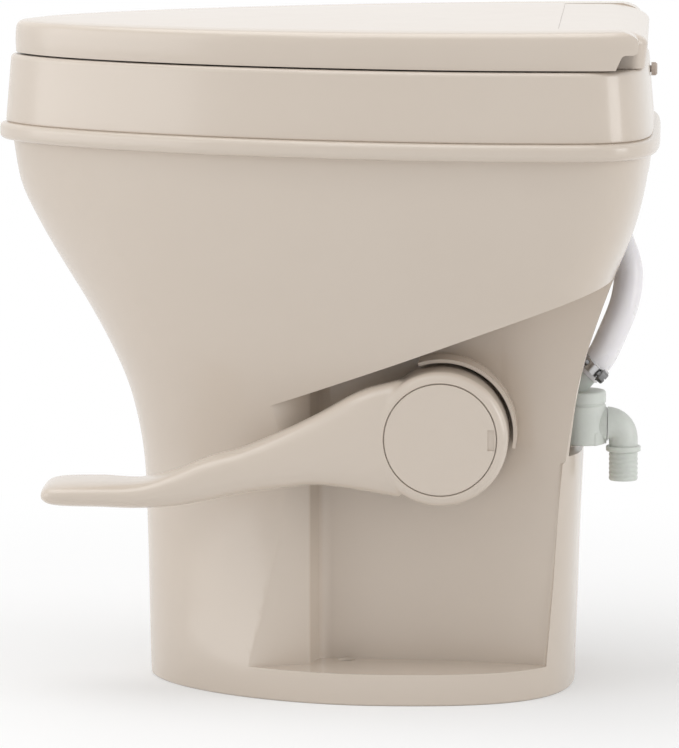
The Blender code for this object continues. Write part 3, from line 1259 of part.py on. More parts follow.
def water_valve():
    face = BAY_FRONT + GAP
    bonnet_rear = face + BONNET_THICKNESS
    stem_axis = place(x=VALVE_X, z=PEDAL_Z, axis="Y")
    bonnet = rod("valve_bonnet", BONNET_RADIUS, face, bonnet_rear, stem_axis, "pale_nylon", ROUND_SIDES)
    half = BONNET_EAR_X
    ears = arc(VALVE_X + half, PEDAL_Z, BONNET_EAR_RADIUS, -pi / 2, pi / 2, EAR_STEPS)
    ears += arc(VALVE_X - half, PEDAL_Z, BONNET_EAR_RADIUS, pi / 2, 3 * pi / 2, EAR_STEPS)
    fuse(bonnet, prism("bonnet_ears", ears, face, face + EAR_PLATE, "Y", "steel"))
    fuse(bonnet, bore("bonnet_nose", BONNET_NOSE_RADIUS, BONNET_NOSE_END, bonnet_rear - OVERRUN, stem_axis))
    ends = (BONNET_NOSE_END - OVERRUN, bonnet_rear + OVERRUN)
    cut(bonnet, bore("bonnet_bore", STEM_RADIUS + GAP, *ends, stem_axis))
    for label, (x, z) in valve_screw_spots().items():
        spot = place(x=x, z=z, axis="Y")
        ends = (face - OVERRUN, bonnet_rear + OVERRUN)
        hole = bore(f"bonnet_hole_{label}", SCREW_RADIUS + GAP, *ends, spot, SCREW_SIDES)
        cut(bonnet, hole)
        screw(f"valve_screw_{label}", BAY_FRONT - WALL * 2, face + EAR_PLATE + GAP, spot)
    tip = PEDAL_Y + CAM_START_RADIUS + STEM_CAM_GAP
    head = tip + STEM_TIP_LENGTH
    under = head + STEM_HEAD_THICKNESS
    end = bonnet_rear - STEM_PLUNGE
    profile = [
        (0, tip), (STEM_TIP_RADIUS, tip), (STEM_RADIUS, head), (STEM_HEAD_RADIUS, head),
        (STEM_HEAD_RADIUS, under), (STEM_RADIUS, under), (STEM_RADIUS, end), (0, end),
    ]
    turned("valve_stem", profile, stem_axis, "steel")
    start = under + STEM_SPRING_WIRE + GAP
    finish = BONNET_NOSE_END - STEM_SPRING_WIRE - GAP
    count = STEM_SPRING_TURNS * STEM_SPRING_SEGMENTS
    points = []
    for step in range(count + 1):
        angle = 2 * pi * step / STEM_SPRING_SEGMENTS
        y = mixed(start, finish, step / count)
        x = VALVE_X + STEM_SPRING_RADIUS * cos(angle)
        points.append((x, y, PEDAL_Z + STEM_SPRING_RADIUS * sin(angle)))
    bm = bmesh.new()
    add_tube(bm, points, STEM_SPRING_WIRE, WIRE_SIDES)
    finish_object("stem_spring", bm, "steel")
    core = bonnet_rear + GAP
    recess = core + DIAPHRAGM_THICKNESS + GAP
    rod("valve_diaphragm", DIAPHRAGM_RADIUS, core + GAP, recess - GAP, stem_axis, "black_rubber")
    bm = bmesh.new()
    bottom = VALVE_BODY_BOTTOM
    edge = VALVE_BODY_RADIUS - VALVE_BODY_EDGE
    profile = [
        (0, bottom), (VALVE_BODY_RADIUS, bottom), (VALVE_BODY_RADIUS, VALVE_BODY_TOP - VALVE_BODY_EDGE),
        (edge, VALVE_BODY_TOP), (0, VALVE_BODY_TOP),
    ]
    add_turned(bm, profile, place(VALVE_X, VALVE_BODY_Y), ROUND_SIDES)
    body = finish_object("valve_body", bm, "pale_nylon")
    fuse(body, bore("valve_core", VALVE_CORE_RADIUS, core, VALVE_BODY_Y, stem_axis, ROUND_SIDES))
    inlet = place(x=VALVE_X, z=ELBOW_Z, axis="Y")
    fuse(body, bore("valve_inlet_boss", ELBOW_BOSS_RADIUS, VALVE_BODY_Y, ELBOW_START_Y - GAP, inlet))
    path = hose_path()
    barb = along(path[0], path[1] - path[0])
    fuse(body, bore("valve_barb_root", BARB_ROOT_RADIUS, -BARB_ROOT - BARB_BURIED, -GAP, barb))
    fuse(body, bore("valve_barb", BARB_RADIUS, -BARB_ROOT, BARB_LENGTH, barb))
    cut(body, bore("diaphragm_recess", DIAPHRAGM_RADIUS + GAP, core - OVERRUN, recess, stem_axis))
    passage = bore("core_passage", BARB_BORE, core, VALVE_BODY_Y, stem_axis)
    fuse(passage, bore("inlet_passage", BARB_BORE + GAP, VALVE_BODY_Y - BARB_BORE, ELBOW_Y, inlet))
    fuse(passage, bore("barb_passage", BARB_BORE - GAP, -BARB_DEPTH, BARB_LENGTH + OVERRUN, barb))
    cut(body, passage)


def inlet_elbow():
    turn_y = ELBOW_START_Y + ELBOW_STRAIGHT
    bend = ELBOW_Y - turn_y
    turn = arc(turn_y, ELBOW_Z - bend, bend, pi / 2, 0.0, EAR_STEPS)
    path = [(VALVE_X, ELBOW_START_Y, ELBOW_Z)] + [(VALVE_X, y, z) for y, z in turn]
    path.append((VALVE_X, ELBOW_Y, COLLAR_NUT_TOP - OVERRUN))
    bm = bmesh.new()
    add_tube(bm, path, ELBOW_RADIUS, SMALL_SIDES)
    made = finish_object("inlet_elbow", bm, "pale_nylon")
    collar_bottom = COLLAR_NUT_TOP - COLLAR_NUT_HEIGHT
    profile = [(0, COLLAR_NUT_TOP), (COLLAR_NUT_RADIUS, COLLAR_NUT_TOP), (COLLAR_NUT_RADIUS, collar_bottom)]
    step = (collar_bottom - SPIGOT_BOTTOM) / SPIGOT_RIBS
    for index in range(SPIGOT_RIBS):
        top = collar_bottom - step * index
        profile.append((SPIGOT_RADIUS - SPIGOT_GROOVE, top))
        profile.append((SPIGOT_RADIUS, top - step * RIB_SHARE))
        profile.append((SPIGOT_RADIUS, top - step * (1 - RIB_SHARE / 2)))
    profile += [(SPIGOT_RADIUS - SPIGOT_GROOVE, SPIGOT_BOTTOM), (0, SPIGOT_BOTTOM)]
    fuse(made, turned("inlet_spigot", profile, place(VALVE_X, ELBOW_Y), "steel"))
    start = [(VALVE_X, ELBOW_START_Y - OVERRUN, ELBOW_Z)]
    bm = bmesh.new()
    add_tube(bm, start + path[1:-1] + [(VALVE_X, ELBOW_Y, SPIGOT_BOTTOM - OVERRUN)], ELBOW_BORE, SMALL_SIDES)
    cut(made, tool_object("elbow_passage", bm))


def hose_path():
    """A smooth line through the hose's route, straight at both ends where the barbs go in."""
    spots = [Vector(spot) for spot in HOSE_ROUTE]
    low_lean = Vector(HOSE_LEAN).normalized()
    top_lean = Vector(HOSE_TOP_LEAN).normalized()
    first = spots[0] - low_lean * (spots[1] - spots[0]).length
    last = spots[-1] + top_lean * (spots[-1] - spots[-2]).length
    knots = [first, *spots, last]
    steps = ceil(HOSE_POINTS / (len(spots) - 1))
    path = [spots[0] - low_lean * HOSE_STRAIGHT]
    for index in range(1, len(knots) - 2):
        a, b, c, d = knots[index - 1:index + 3]
        for step in range(steps):
            t = step / steps
            point = b * 2 + (c - a) * t + (a * 2 - b * 5 + c * 4 - d) * t ** 2
            point += (b * 3 - a - c * 3 + d) * t ** 3
            path.append(point / 2)
    return path + [spots[-1], spots[-1] + top_lean * HOSE_STRAIGHT]


def rinse_hose():
    path = hose_path()
    bm = bmesh.new()
    outer = path_rings(path, HOSE_RADIUS, HOSE_SIDES)
    inner = path_rings(path, HOSE_BORE, HOSE_SIDES)
    loops = [[bm.verts.new(point) for point in ring] for ring in outer + inner[::-1]]
    for low, high in zip(loops, loops[1:] + loops[:1]):
        join_rings(bm, low, high)
    finish_object("rinse_hose", bm, "white_vinyl")
    start = path[0]
    lean = (path[1] - path[0]).normalized()
    middle = start + lean * HOSE_CLAMP_PLACE
    hose_clamp("lower_hose_clamp", "lower_clamp_screw", middle, lean, Vector((1, 0, 0)))
    lean = (path[-1] - path[-2]).normalized()
    middle = path[-1] - lean * HOSE_CLAMP_PLACE
    hose_clamp("upper_hose_clamp", "upper_clamp_screw", middle, lean, Vector((1, 1, 0)))


def hose_clamp(name, screw_name, center, lean, facing):
    """A worm-drive clamp whose screw housing faces the given way."""
    facing = (facing - lean * facing.dot(lean)).normalized()
    across = lean.cross(facing)
    turn = Matrix((across, facing, lean)).transposed().to_4x4()
    where = Matrix.Translation(center) @ turn
    inner = HOSE_RADIUS + GAP
    outer = inner + HOSE_CLAMP_THICKNESS
    half = HOSE_CLAMP_WIDTH / 2
    profile = [(inner, -half), (outer, -half), (outer, half), (inner, half)]
    made = turned(name, profile, where, "steel", ROUND_SIDES)
    long_half = CLAMP_HOUSING_LENGTH / 2
    body = bmesh.new()
    corner = (-long_half, inner + GAP, -half + GAP)
    add_block(body, corner, (long_half, outer + CLAMP_HOUSING_HEIGHT, half - GAP))
    bmesh.ops.transform(body, matrix=where, verts=body.verts)
    fuse(made, tool_object(f"{name}_housing", body))
    height = outer + CLAMP_HOUSING_HEIGHT / 2
    worm = where @ place(y=height, axis="X")
    reach = CLAMP_SCREW_SHANK / 2
    cut(made, bore(f"{name}_bore", CLAMP_SCREW_RADIUS + GAP, -reach * 2, reach * 2, worm))
    profile = [
        (0, -reach), (CLAMP_SCREW_RADIUS, -reach), (CLAMP_SCREW_RADIUS, long_half + GAP),
        (CLAMP_SCREW_HEAD, long_half + GAP), (CLAMP_SCREW_HEAD, long_half + GAP + CLAMP_SCREW_HEAD_LENGTH),
        (0, long_half + GAP + CLAMP_SCREW_HEAD_LENGTH),
    ]
    turned(screw_name, profile, worm, "steel", HEX_SIDES)


def vacuum_breaker():
    spot = place(BREAKER_X, BREAKER_Y)
    inner = BREAKER_RADIUS - BREAKER_WALL
    bottom = BREAKER_BOTTOM
    profile = [(0, bottom), (BREAKER_RADIUS, bottom), (BREAKER_RADIUS, BREAKER_TOP), (0, BREAKER_TOP)]
    made = turned("vacuum_breaker", profile, spot, "black_plastic", ROUND_SIDES)
    nozzle = place(x=BREAKER_X, z=NOZZLE_Z, axis="Y")
    fuse(made, bore("breaker_socket", SOCKET_RADIUS, SOCKET_FRONT_Y, BREAKER_Y, nozzle))
    path = hose_path()
    lean = (path[-1] - path[-2]).normalized()
    barb = along(path[-1], lean)
    fuse(made, bore("breaker_barb_root", BARB_ROOT_RADIUS, GAP, BARB_BURIED + BARB_ROOT, barb))
    fuse(made, bore("breaker_barb", BARB_RADIUS, -BARB_LENGTH, BARB_ROOT, barb))
    space = bore("breaker_space", inner, bottom + BREAKER_WALL * 2, BREAKER_TOP + OVERRUN, spot, SMALL_SIDES)
    cut(made, space)
    cut(made, bore("breaker_barb_passage", BARB_BORE, -BARB_LENGTH - OVERRUN, BARB_BURIED + BARB_ROOT, barb))
    ends = (SOCKET_FRONT_Y - OVERRUN, NOZZLE_END_Y + GAP)
    cut(made, bore("spigot_socket", NOZZLE_RADIUS + GAP, *ends, nozzle))
    cut(made, bore("spigot_passage", NOZZLE_BORE, SOCKET_FRONT_Y, BREAKER_Y, nozzle))
    rim = BREAKER_RADIUS + GAP
    top = BREAKER_TOP + GAP
    skirt = BREAKER_TOP - BREAKER_CAP_SKIRT + SKIRT_LIFT
    crown = BREAKER_TOP + BREAKER_CAP_HEIGHT
    profile = [
        (rim, skirt), (BREAKER_CAP_RADIUS, skirt),
        (BREAKER_CAP_RADIUS, BREAKER_TOP + BREAKER_CAP_HEIGHT / 2), (BREAKER_RADIUS, crown),
        (0, crown), (0, top), (rim, top),
    ]
    turned("breaker_cap", profile, spot, "black_plastic", ROUND_SIDES)
    face = NOZZLE_BOSS_REAR + GAP
    flange = face + GASKET_THICKNESS + GAP
    profile = [
        (NOZZLE_BORE, NOZZLE_INNER_Y), (NOZZLE_RADIUS, NOZZLE_INNER_Y), (NOZZLE_RADIUS, flange),
        (NOZZLE_FLANGE_RADIUS, flange), (NOZZLE_FLANGE_RADIUS, flange + NOZZLE_FLANGE),
        (NOZZLE_RADIUS, flange + NOZZLE_FLANGE), (NOZZLE_RADIUS, NOZZLE_END_Y), (NOZZLE_BORE, NOZZLE_END_Y),
    ]
    turned("rinse_nozzle", profile, nozzle, "grey_acetal")
    profile = [
        (NOZZLE_RADIUS + GAP, face), (NOZZLE_FLANGE_RADIUS, face),
        (NOZZLE_FLANGE_RADIUS, face + GASKET_THICKNESS), (NOZZLE_RADIUS + GAP, face + GASKET_THICKNESS),
    ]
    turned("nozzle_gasket", profile, nozzle, "black_rubber")


def floor_fittings():
    spot = place(y=DRAIN_Y)
    inner = NECK_RADIUS + GAP
    profile = [
        (inner, 0.0), (FLOOR_SEAL_RADIUS, 0.0), (FLOOR_SEAL_RADIUS, FLOOR_SEAL_TOP - FLOOR_SEAL_CHAMFER),
        (FLOOR_SEAL_RADIUS - FLOOR_SEAL_CHAMFER, FLOOR_SEAL_TOP), (inner, FLOOR_SEAL_TOP),
    ]
    turned("floor_seal", profile, spot, "black_rubber", ROUND_SIDES)
    top = DECK_TOP + GAP * 2 + HOUSING_FOOT_THICKNESS
    for label, (x, y) in housing_screw_spots().items():
        screw(f"housing_screw_{label}", DECK_TOP - WALL * 2, top, place(x, y))


def seat():
    rows = (
        (SEAT_BOTTOM, SEAT_EDGE * EDGE_KNEE),
        (SEAT_BOTTOM + SEAT_EDGE * EDGE_KNEE, 0.0),
        (SEAT_TOP - SEAT_EDGE, 0.0),
        (SEAT_TOP - SEAT_EDGE * EDGE_KNEE, SEAT_EDGE * EDGE_KNEE),
        (SEAT_TOP, SEAT_EDGE),
    )
    rings = []
    for z, inset in rows:
        edge = SEAT_INSET + inset
        nose = edge - HALF_LENGTH
        rear = SEAT_REAR - inset
        points = outline(HALF_WIDTH - edge, nose, rear, SEAT_MIDDLE, FRONT_POWER, SEAT_REAR_POWER)
        rings.append(at_height(points, z))
    made = loft("seat", rings, "bone_plastic")
    reach = SEAT_HOLE_EDGE
    rows = (
        (SEAT_BOTTOM - OVERRUN, 0.0), (SEAT_TOP - reach, 0.0),
        (SEAT_TOP - reach * EDGE_KNEE, reach * (1 - EDGE_KNEE) / 2), (SEAT_TOP + OVERRUN, reach),
    )
    rings = []
    for z, growth in rows:
        points = outline(
            SEAT_HOLE_HALF_WIDTH + growth, SEAT_HOLE_FRONT - growth, SEAT_HOLE_REAR + growth,
            SEAT_HOLE_MIDDLE, SEAT_HOLE_POWER, SEAT_HOLE_POWER,
        )
        rings.append(at_height(points, z))
    cut(made, loft("seat_hole", rings, "steel"))
    axle = place(y=HINGE_Y, z=HINGE_Z, axis="X")
    for side in (-1, 1):
        label = "right" if side > 0 else "left"
        ends = sorted((side * (HOUSING_HALF_LENGTH + EAR_CLEARANCE), side * SEAT_EAR_END))
        points = arc(HINGE_Y, HINGE_Z, EAR_DISC_RADIUS, pi / 2, -pi / 2, EAR_STEPS)
        points += [(HINGE_Y + y * SEAT_EAR_REACH, HINGE_Z + z * SEAT_EAR_REACH) for y, z in SEAT_EAR_SHARES]
        fuse(made, prism(f"seat_ear_{label}", points, *ends, "X", "steel"))
    reach = SEAT_EAR_END + OVERRUN
    cut(made, bore("seat_pin_bore", HINGE_PIN_RADIUS + GAP, -reach, reach, axle))
    low = RIM_TOP + GAP
    top = SEAT_BOTTOM - GAP
    for side in (-1, 1):
        label = "right" if side > 0 else "left"
        front = place(side * SEAT_BUMPER_FRONT_X, SEAT_BUMPER_FRONT_Y)
        rear = place(side * SEAT_BUMPER_REAR_X, SEAT_BUMPER_REAR_Y)
        rod(f"seat_bumper_front_{label}", SEAT_BUMPER_RADIUS, low, top, front, "bone_rubber")
        rod(f"seat_bumper_rear_{label}", SEAT_BUMPER_RADIUS, low, top, rear, "bone_rubber")


def lid_rings(wall):
    rings = []
    front = LID_EDGE_INSET * LID_SHARES[0][0] - HALF_LENGTH
    for inset, height, tilt in LID_SHARES:
        edge = inset * LID_EDGE_INSET + wall
        nose = edge - HALF_LENGTH
        points = outline(HALF_WIDTH - edge, nose, LID_REAR, BEAD_MIDDLE, FRONT_POWER, REAR_POWER)
        foot = LID_SKIRT_BOTTOM - (OVERRUN if wall and height == 0 else 0)
        z = foot + height * (LID_EDGE_RISE - wall)
        rings.append([(x, y, z + tilt * LID_TILT * (y - front)) for x, y in points])
    edge = rings[-1]
    for share in LID_TOP_SHARES:
        z = LID_SKIRT_BOTTOM + LID_EDGE_RISE - wall + LID_CROWN * (1 - share * share)
        rings.append([(x * share, y * share, z + LID_TILT * (y * share - front)) for x, y, _ in edge])
    z = LID_SKIRT_BOTTOM + LID_EDGE_RISE - wall + LID_CROWN
    rings.append([(0.0, 0.0, z - LID_TILT * front)])
    return rings


def behind(name, radius):
    """Everything behind the hinge line and outside a radius round it."""
    far = HALF_LENGTH
    points = arc(HINGE_Y, HINGE_Z, radius, pi / 2, -pi / 2, REAR_STEPS)
    points += [(HINGE_Y, HINGE_Z - far), (HINGE_Y + far, HINGE_Z - far)]
    points += [(HINGE_Y + far, HINGE_Z + far), (HINGE_Y, HINGE_Z + far)]
    return prism(name, points, -HALF_LENGTH, HALF_LENGTH, "X", "steel")


def lid():
    made = loft("lid", lid_rings(0.0), "bone_plastic")
    axle = place(y=HINGE_Y, z=HINGE_Z, axis="X")
    gate = HOUSING_HALF_LENGTH + EAR_CLEARANCE * HALF
    sweep = HOUSING_SWEEP + LID_CUT_GAP
    cut(made, bore("lid_sweep", sweep, -gate, gate, axle, SIDES))
    cut(made, behind("lid_rear_round", LID_END_RADIUS))
    points = [(HINGE_Y + y * LID_END_RADIUS, HINGE_Z + z * LID_END_RADIUS) for y, z in LID_NOTCH_SHARES]
    cut(made, prism("lid_notch", points, -HALF_WIDTH, HALF_WIDTH, "X", "steel"))
    space = loft("lid_space", lid_rings(LID_WALL), "steel")
    cut(space, bore("lid_rear_wall", sweep + LID_WALL, -gate, gate, axle, SIDES))
    cut(space, behind("lid_rear_wall_round", LID_END_RADIUS - LID_WALL))
    cut(made, space)
    low = SEAT_EAR_END + EAR_CLEARANCE
    points = [(HINGE_Y + y * LID_END_RADIUS, HINGE_Z + z * LID_END_RADIUS) for y, z in EAR_PASSAGE_SHARES]
    cut(made, prism("ear_passage", points, -low, low, "X", "steel"))
    for side in (-1, 1):
        label = "right" if side > 0 else "left"
        ends = sorted((side * low, side * (low + EAR_WIDTH)))
        points = arc(HINGE_Y, HINGE_Z, EAR_DISC_RADIUS, -pi, 0.0, EAR_STEPS)
        roof = LID_SKIRT_BOTTOM + LID_EDGE_RISE + LID_TILT * (HINGE_Y + HALF_LENGTH) - LID_WALL / 2
        points += [(HINGE_Y + EAR_DISC_RADIUS, roof), (HINGE_Y - EAR_DISC_RADIUS, roof)]
        fuse(made, prism(f"lid_ear_{label}", points, *ends, "X", "steel"))
    reach = SEAT_EAR_END + EAR_WIDTH * 2
    cut(made, bore("lid_pin_bore", HINGE_PIN_RADIUS + GAP, -reach, reach, axle))
    inner = LID_SKIRT_BOTTOM + LID_EDGE_RISE - LID_WALL
    front = LID_EDGE_INSET * LID_SHARES[0][0] - HALF_LENGTH
    top = inner + LID_TILT * (LID_BUMPER_Y - LID_BUMPER_RADIUS - front) - GAP
    for side in (-1, 1):
        label = "right" if side > 0 else "left"
        spot = place(side * LID_BUMPER_X, LID_BUMPER_Y)
        rod(f"lid_bumper_{label}", LID_BUMPER_RADIUS, SEAT_TOP + GAP, top, spot, "bone_rubber")


def housing_profile():
    base = RIM_TOP + GAP
    foot = asin((HINGE_Z - base) / HOUSING_SWEEP)
    head = asin((COVER_TOP - HINGE_Z) / HOUSING_SWEEP)
    points = arc(HINGE_Y, HINGE_Z, HOUSING_SWEEP, pi + foot, pi - head, REAR_STEPS)
    reach = HOUSING_REAR - HINGE_Y
    rise = COVER_TOP - HINGE_Z
    points += [(HINGE_Y + y * reach, HINGE_Z + z * rise) for y, z in HINGE_PROFILE_SHARES]
    points.append((HOUSING_BASE_REAR, base))
    return points


def hinge_housing():
    profile = housing_profile()
    reach = HOUSING_REAR - HINGE_Y
    stations = []
    for step in range(END_STEPS + 1):
        angle = pi / 2 * step / END_STEPS
        x = HOUSING_HALF_LENGTH - HOUSING_END_ROUNDING * (1 - sin(angle))
        stations.append((x, 1 - HOUSING_END_ROUNDING * (1 - cos(angle)) / reach))
    rings = []
    for x, share in [(-x, share) for x, share in reversed(stations)] + stations:
        rings.append([(x, HINGE_Y + (y - HINGE_Y) * (share if y > HINGE_Y else 1), z) for y, z in profile])
    made = loft("hinge_housing", rings, "bone_plastic")
    inner = offset_chain(profile, -HOUSING_WALL)
    low = RIM_TOP - OVERRUN
    inner = [(inner[0][0], low)] + inner + [(inner[-1][0], low)]
    half = HOUSING_HALF_LENGTH - HOUSING_END_BLOCK
    cut(made, prism("housing_hollow", inner, -half, half, "X", "steel"))
    axle = place(y=HINGE_Y, z=HINGE_Z, axis="X")
    under = RIM_TOP - WALL - GAP
    waist = under - HINGE_FLANGE_THICKNESS
    hole = HINGE_BOLT_RADIUS + GAP
    for side in (-1, 1):
        label = "right" if side > 0 else "left"
        spot = place(side * HINGE_BOLT_X, HINGE_BOLT_Y)
        base = RIM_TOP + GAP
        fuse(made, bore(f"bolt_boss_{label}", HINGE_BOSS_RADIUS, base, HINGE_BOSS_TOP, spot))
        cut(made, bore(f"bolt_bore_{label}", hole, RIM_TOP - OVERRUN, HINGE_BOLT_TOP + GAP, spot))
        ends = sorted((side * (HINGE_PIN_INNER - GAP), side * HALF_WIDTH))
        cut(made, bore(f"pin_bore_{label}", HINGE_PIN_RADIUS + GAP, *ends, axle))
        rod(f"hinge_bolt_{label}", HINGE_BOLT_RADIUS, HINGE_BOLT_BOTTOM, HINGE_BOLT_TOP, spot, "steel")
        foot = waist - HINGE_NUT_HEIGHT
        profile = [
            (hole, foot), (HINGE_NUT_RADIUS, foot), (HINGE_NUT_RADIUS, waist),
            (HINGE_FLANGE_RADIUS, waist), (HINGE_FLANGE_RADIUS, under), (hole, under),
        ]
        turned(f"hinge_nut_{label}", profile, spot, "black_plastic")
        head = SEAT_EAR_END + EAR_CLEARANCE + EAR_WIDTH + GAP
        end = head + HINGE_PIN_HEAD_THICKNESS
        profile = [
            (0, HINGE_PIN_INNER), (HINGE_PIN_RADIUS, HINGE_PIN_INNER), (HINGE_PIN_RADIUS, head),
            (HINGE_PIN_HEAD, head), (HINGE_PIN_HEAD, end), (0, end),
        ]
        turned(f"hinge_pin_{label}", [(radius, side * x) for radius, x in profile], axle, "steel")


def rear_stop():
    face = HALF_LENGTH - RIM_TOP_INSET + STOP_GAP
    peg = face - STOP_PEG_LENGTH
    knee = STOP_RADIUS - STOP_EDGE
    end = face + STOP_DEPTH
    profile = [
        (0, peg), (STOP_PEG_RADIUS, peg), (STOP_PEG_RADIUS, face), (STOP_RADIUS, face),
        (STOP_RADIUS, end - STOP_EDGE), (knee, end), (0, end),
    ]
    turned("rear_stop", profile, place(z=STOP_Z, axis="Y"), "bone_rubber")


def set_origin(names, point):
    for name in names:
        moved = bpy.data.objects[name]
        moved.data.transform(Matrix.Translation([-value for value in point]))
        moved.location = point


pedestal_shell()
bowl()
ball_housing()
bowl_seal()
clamp_band()
flush_ball()
gears()
pedal_shaft()
shaft_bracket()
return_spring()
valve_cam()
pedal()
water_valve()
inlet_elbow()
rinse_hose()
vacuum_breaker()
floor_fittings()
seat()
lid()
hinge_housing()
rear_stop()

set_origin(("seat", "lid"), (0.0, HINGE_Y, HINGE_Z))
set_origin(("pedal_arm", "pedal_cap", "pedal_screw"), (HUB_OUTER, PEDAL_Y, PEDAL_Z))
set_origin(("pedal_shaft", "sector_gear", "valve_cam", "shaft_clip"), (SHAFT_INNER, PEDAL_Y, PEDAL_Z))
set_origin(("flush_ball", "ball_drive_shaft", "ball_idle_pin", "ball_pinion"), (0.0, DRAIN_Y, BALL_Z))
set_origin(("valve_stem",), (VALVE_X, PEDAL_Y, PEDAL_Z))
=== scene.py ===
import json
import math

import bmesh
import bpy
from mathutils import Matrix, Vector


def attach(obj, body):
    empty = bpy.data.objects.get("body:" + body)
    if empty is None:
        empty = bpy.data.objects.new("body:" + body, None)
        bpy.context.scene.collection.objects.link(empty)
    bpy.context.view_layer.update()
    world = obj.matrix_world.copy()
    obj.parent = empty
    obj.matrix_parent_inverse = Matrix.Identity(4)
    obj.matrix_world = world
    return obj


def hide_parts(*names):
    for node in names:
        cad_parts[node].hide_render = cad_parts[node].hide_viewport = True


pi = math.pi
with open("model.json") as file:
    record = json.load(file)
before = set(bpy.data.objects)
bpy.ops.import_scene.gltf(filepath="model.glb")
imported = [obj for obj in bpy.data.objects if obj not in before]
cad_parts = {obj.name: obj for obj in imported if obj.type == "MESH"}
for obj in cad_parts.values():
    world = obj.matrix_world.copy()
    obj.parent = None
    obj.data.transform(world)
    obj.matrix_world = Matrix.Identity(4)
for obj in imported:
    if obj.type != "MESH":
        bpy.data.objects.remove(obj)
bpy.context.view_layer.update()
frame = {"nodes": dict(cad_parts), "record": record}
nodes = frame["nodes"]
print("frame loaded with", len(nodes), "nodes")

# Camera, lamps and backdrop
view = {
    "place": (4.547, 0.2538, 0.8004),
    "looks": (-0.99066, -0.05365, -0.12533),
    "lens": 296.7,
    "sensor": 36.0,
}
lamps = {  # place, aim, width, height, watts
    "overhead": ((0.1, -0.4, 2.6), (0.0, 0.0, 0.3), 2.6, 2.2, 31.0),
    "frontLeft": ((0.9, -3.4, 0.9), (0.0, 0.0, 0.22), 3.2, 2.6, 36.0),
    "rearRight": ((1.1, 3.2, 1.1), (0.0, 0.1, 0.3), 1.6, 1.8, 26.0),
    "strip": ((1.9, -1.3, 2.1), (0.1, 0.0, 0.3), 0.10, 0.9, 1.4),
}
backdrop = {"ambient": 0.62, "floor": (0.90, 0.90, 0.90), "lift": 0.30, "fade": (0.30, 0.95), "span": 60.0}


def setUpCamera():
    data = bpy.data.cameras.new("camera")
    data.lens = view["lens"]
    data.sensor_width = view["sensor"]
    data.clip_end = 200.0
    made = bpy.data.objects.new("camera", data)
    bpy.context.scene.collection.objects.link(made)
    made.location = view["place"]
    made.rotation_euler = Vector(view["looks"]).to_track_quat("-Z", "Y").to_euler()
    bpy.context.scene.camera = made


def setUpLamps():
    for name, (place, aim, width, height, watts) in lamps.items():
        data = bpy.data.lights.new(name, "AREA")
        data.shape = "RECTANGLE"
        data.size = width
        data.size_y = height
        data.energy = watts
        made = bpy.data.objects.new(name, data)
        bpy.context.scene.collection.objects.link(made)
        made.location = place
        made.rotation_euler = (Vector(aim) - Vector(place)).to_track_quat("-Z", "Y").to_euler()


class Value:  # a node's output that can be used in sums
    def __init__(self, sheet, socket):
        self.sheet = sheet
        self.socket = socket

    def maths(self, kind, first, second):
        return self.sheet.node("ShaderNodeMath", {"operation": kind}, {0: first, 1: second})

    def __add__(self, other):
        return self.maths("ADD", self, other)

    def __mul__(self, other):
        return self.maths("MULTIPLY", self, other)


class Sheet:  # the node tree of a material or of the world
    def __init__(self, name, kind=None):
        self.material = (bpy.data.materials if kind is None else kind).new(name)
        self.material.use_nodes = True
        self.tree = self.material.node_tree
        self.tree.nodes.clear()

    def node(self, kind, settings=None, inputs=None, output=0):
        made = self.tree.nodes.new(kind)
        for key, setting in (settings or {}).items():
            setattr(made, key, setting)
        for key, given in (inputs or {}).items():
            if isinstance(given, Value):
                self.tree.links.new(given.socket, made.inputs[key])
            else:
                made.inputs[key].default_value = given
        return Value(self, made.outputs[output]) if len(made.outputs) else None

    def blend(self, share, first, second):
        colors = [tuple(c) + (1.0,) if isinstance(c, tuple) and len(c) == 3 else c for c in (first, second)]
        return self.node("ShaderNodeMix", {"data_type": "RGBA"}, {0: share, 6: colors[0], 7: colors[1]}, 2)

    def place(self):
        return self.node("ShaderNodeTexCoord", None, None, "Object")

    def scaled(self, spot, factors):
        return self.node("ShaderNodeVectorMath", {"operation": "MULTIPLY"}, {0: spot, 1: factors})

    def noise(self, spot, scale, detail=3.0, rough=0.55):
        return self.node("ShaderNodeTexNoise", None,
                         {"Vector": spot, "Scale": scale, "Detail": detail, "Roughness": rough})

    def fit(self, value, low, high, newLow, newHigh):
        spans = {"Value": value, "From Min": low, "From Max": high, "To Min": newLow, "To Max": newHigh}
        return self.node("ShaderNodeMapRange", None, spans)

    def bump(self, height, strength, distance, normal=None):
        inputs = {"Height": height, "Strength": strength, "Distance": distance}
        if normal is not None:
            inputs["Normal"] = normal
        return self.node("ShaderNodeBump", None, inputs)

    def close(self, inputs):
        shader = self.node("ShaderNodeBsdfPrincipled", None, inputs)
        self.node("ShaderNodeOutputMaterial", None, {"Surface": shader})
        return self.material


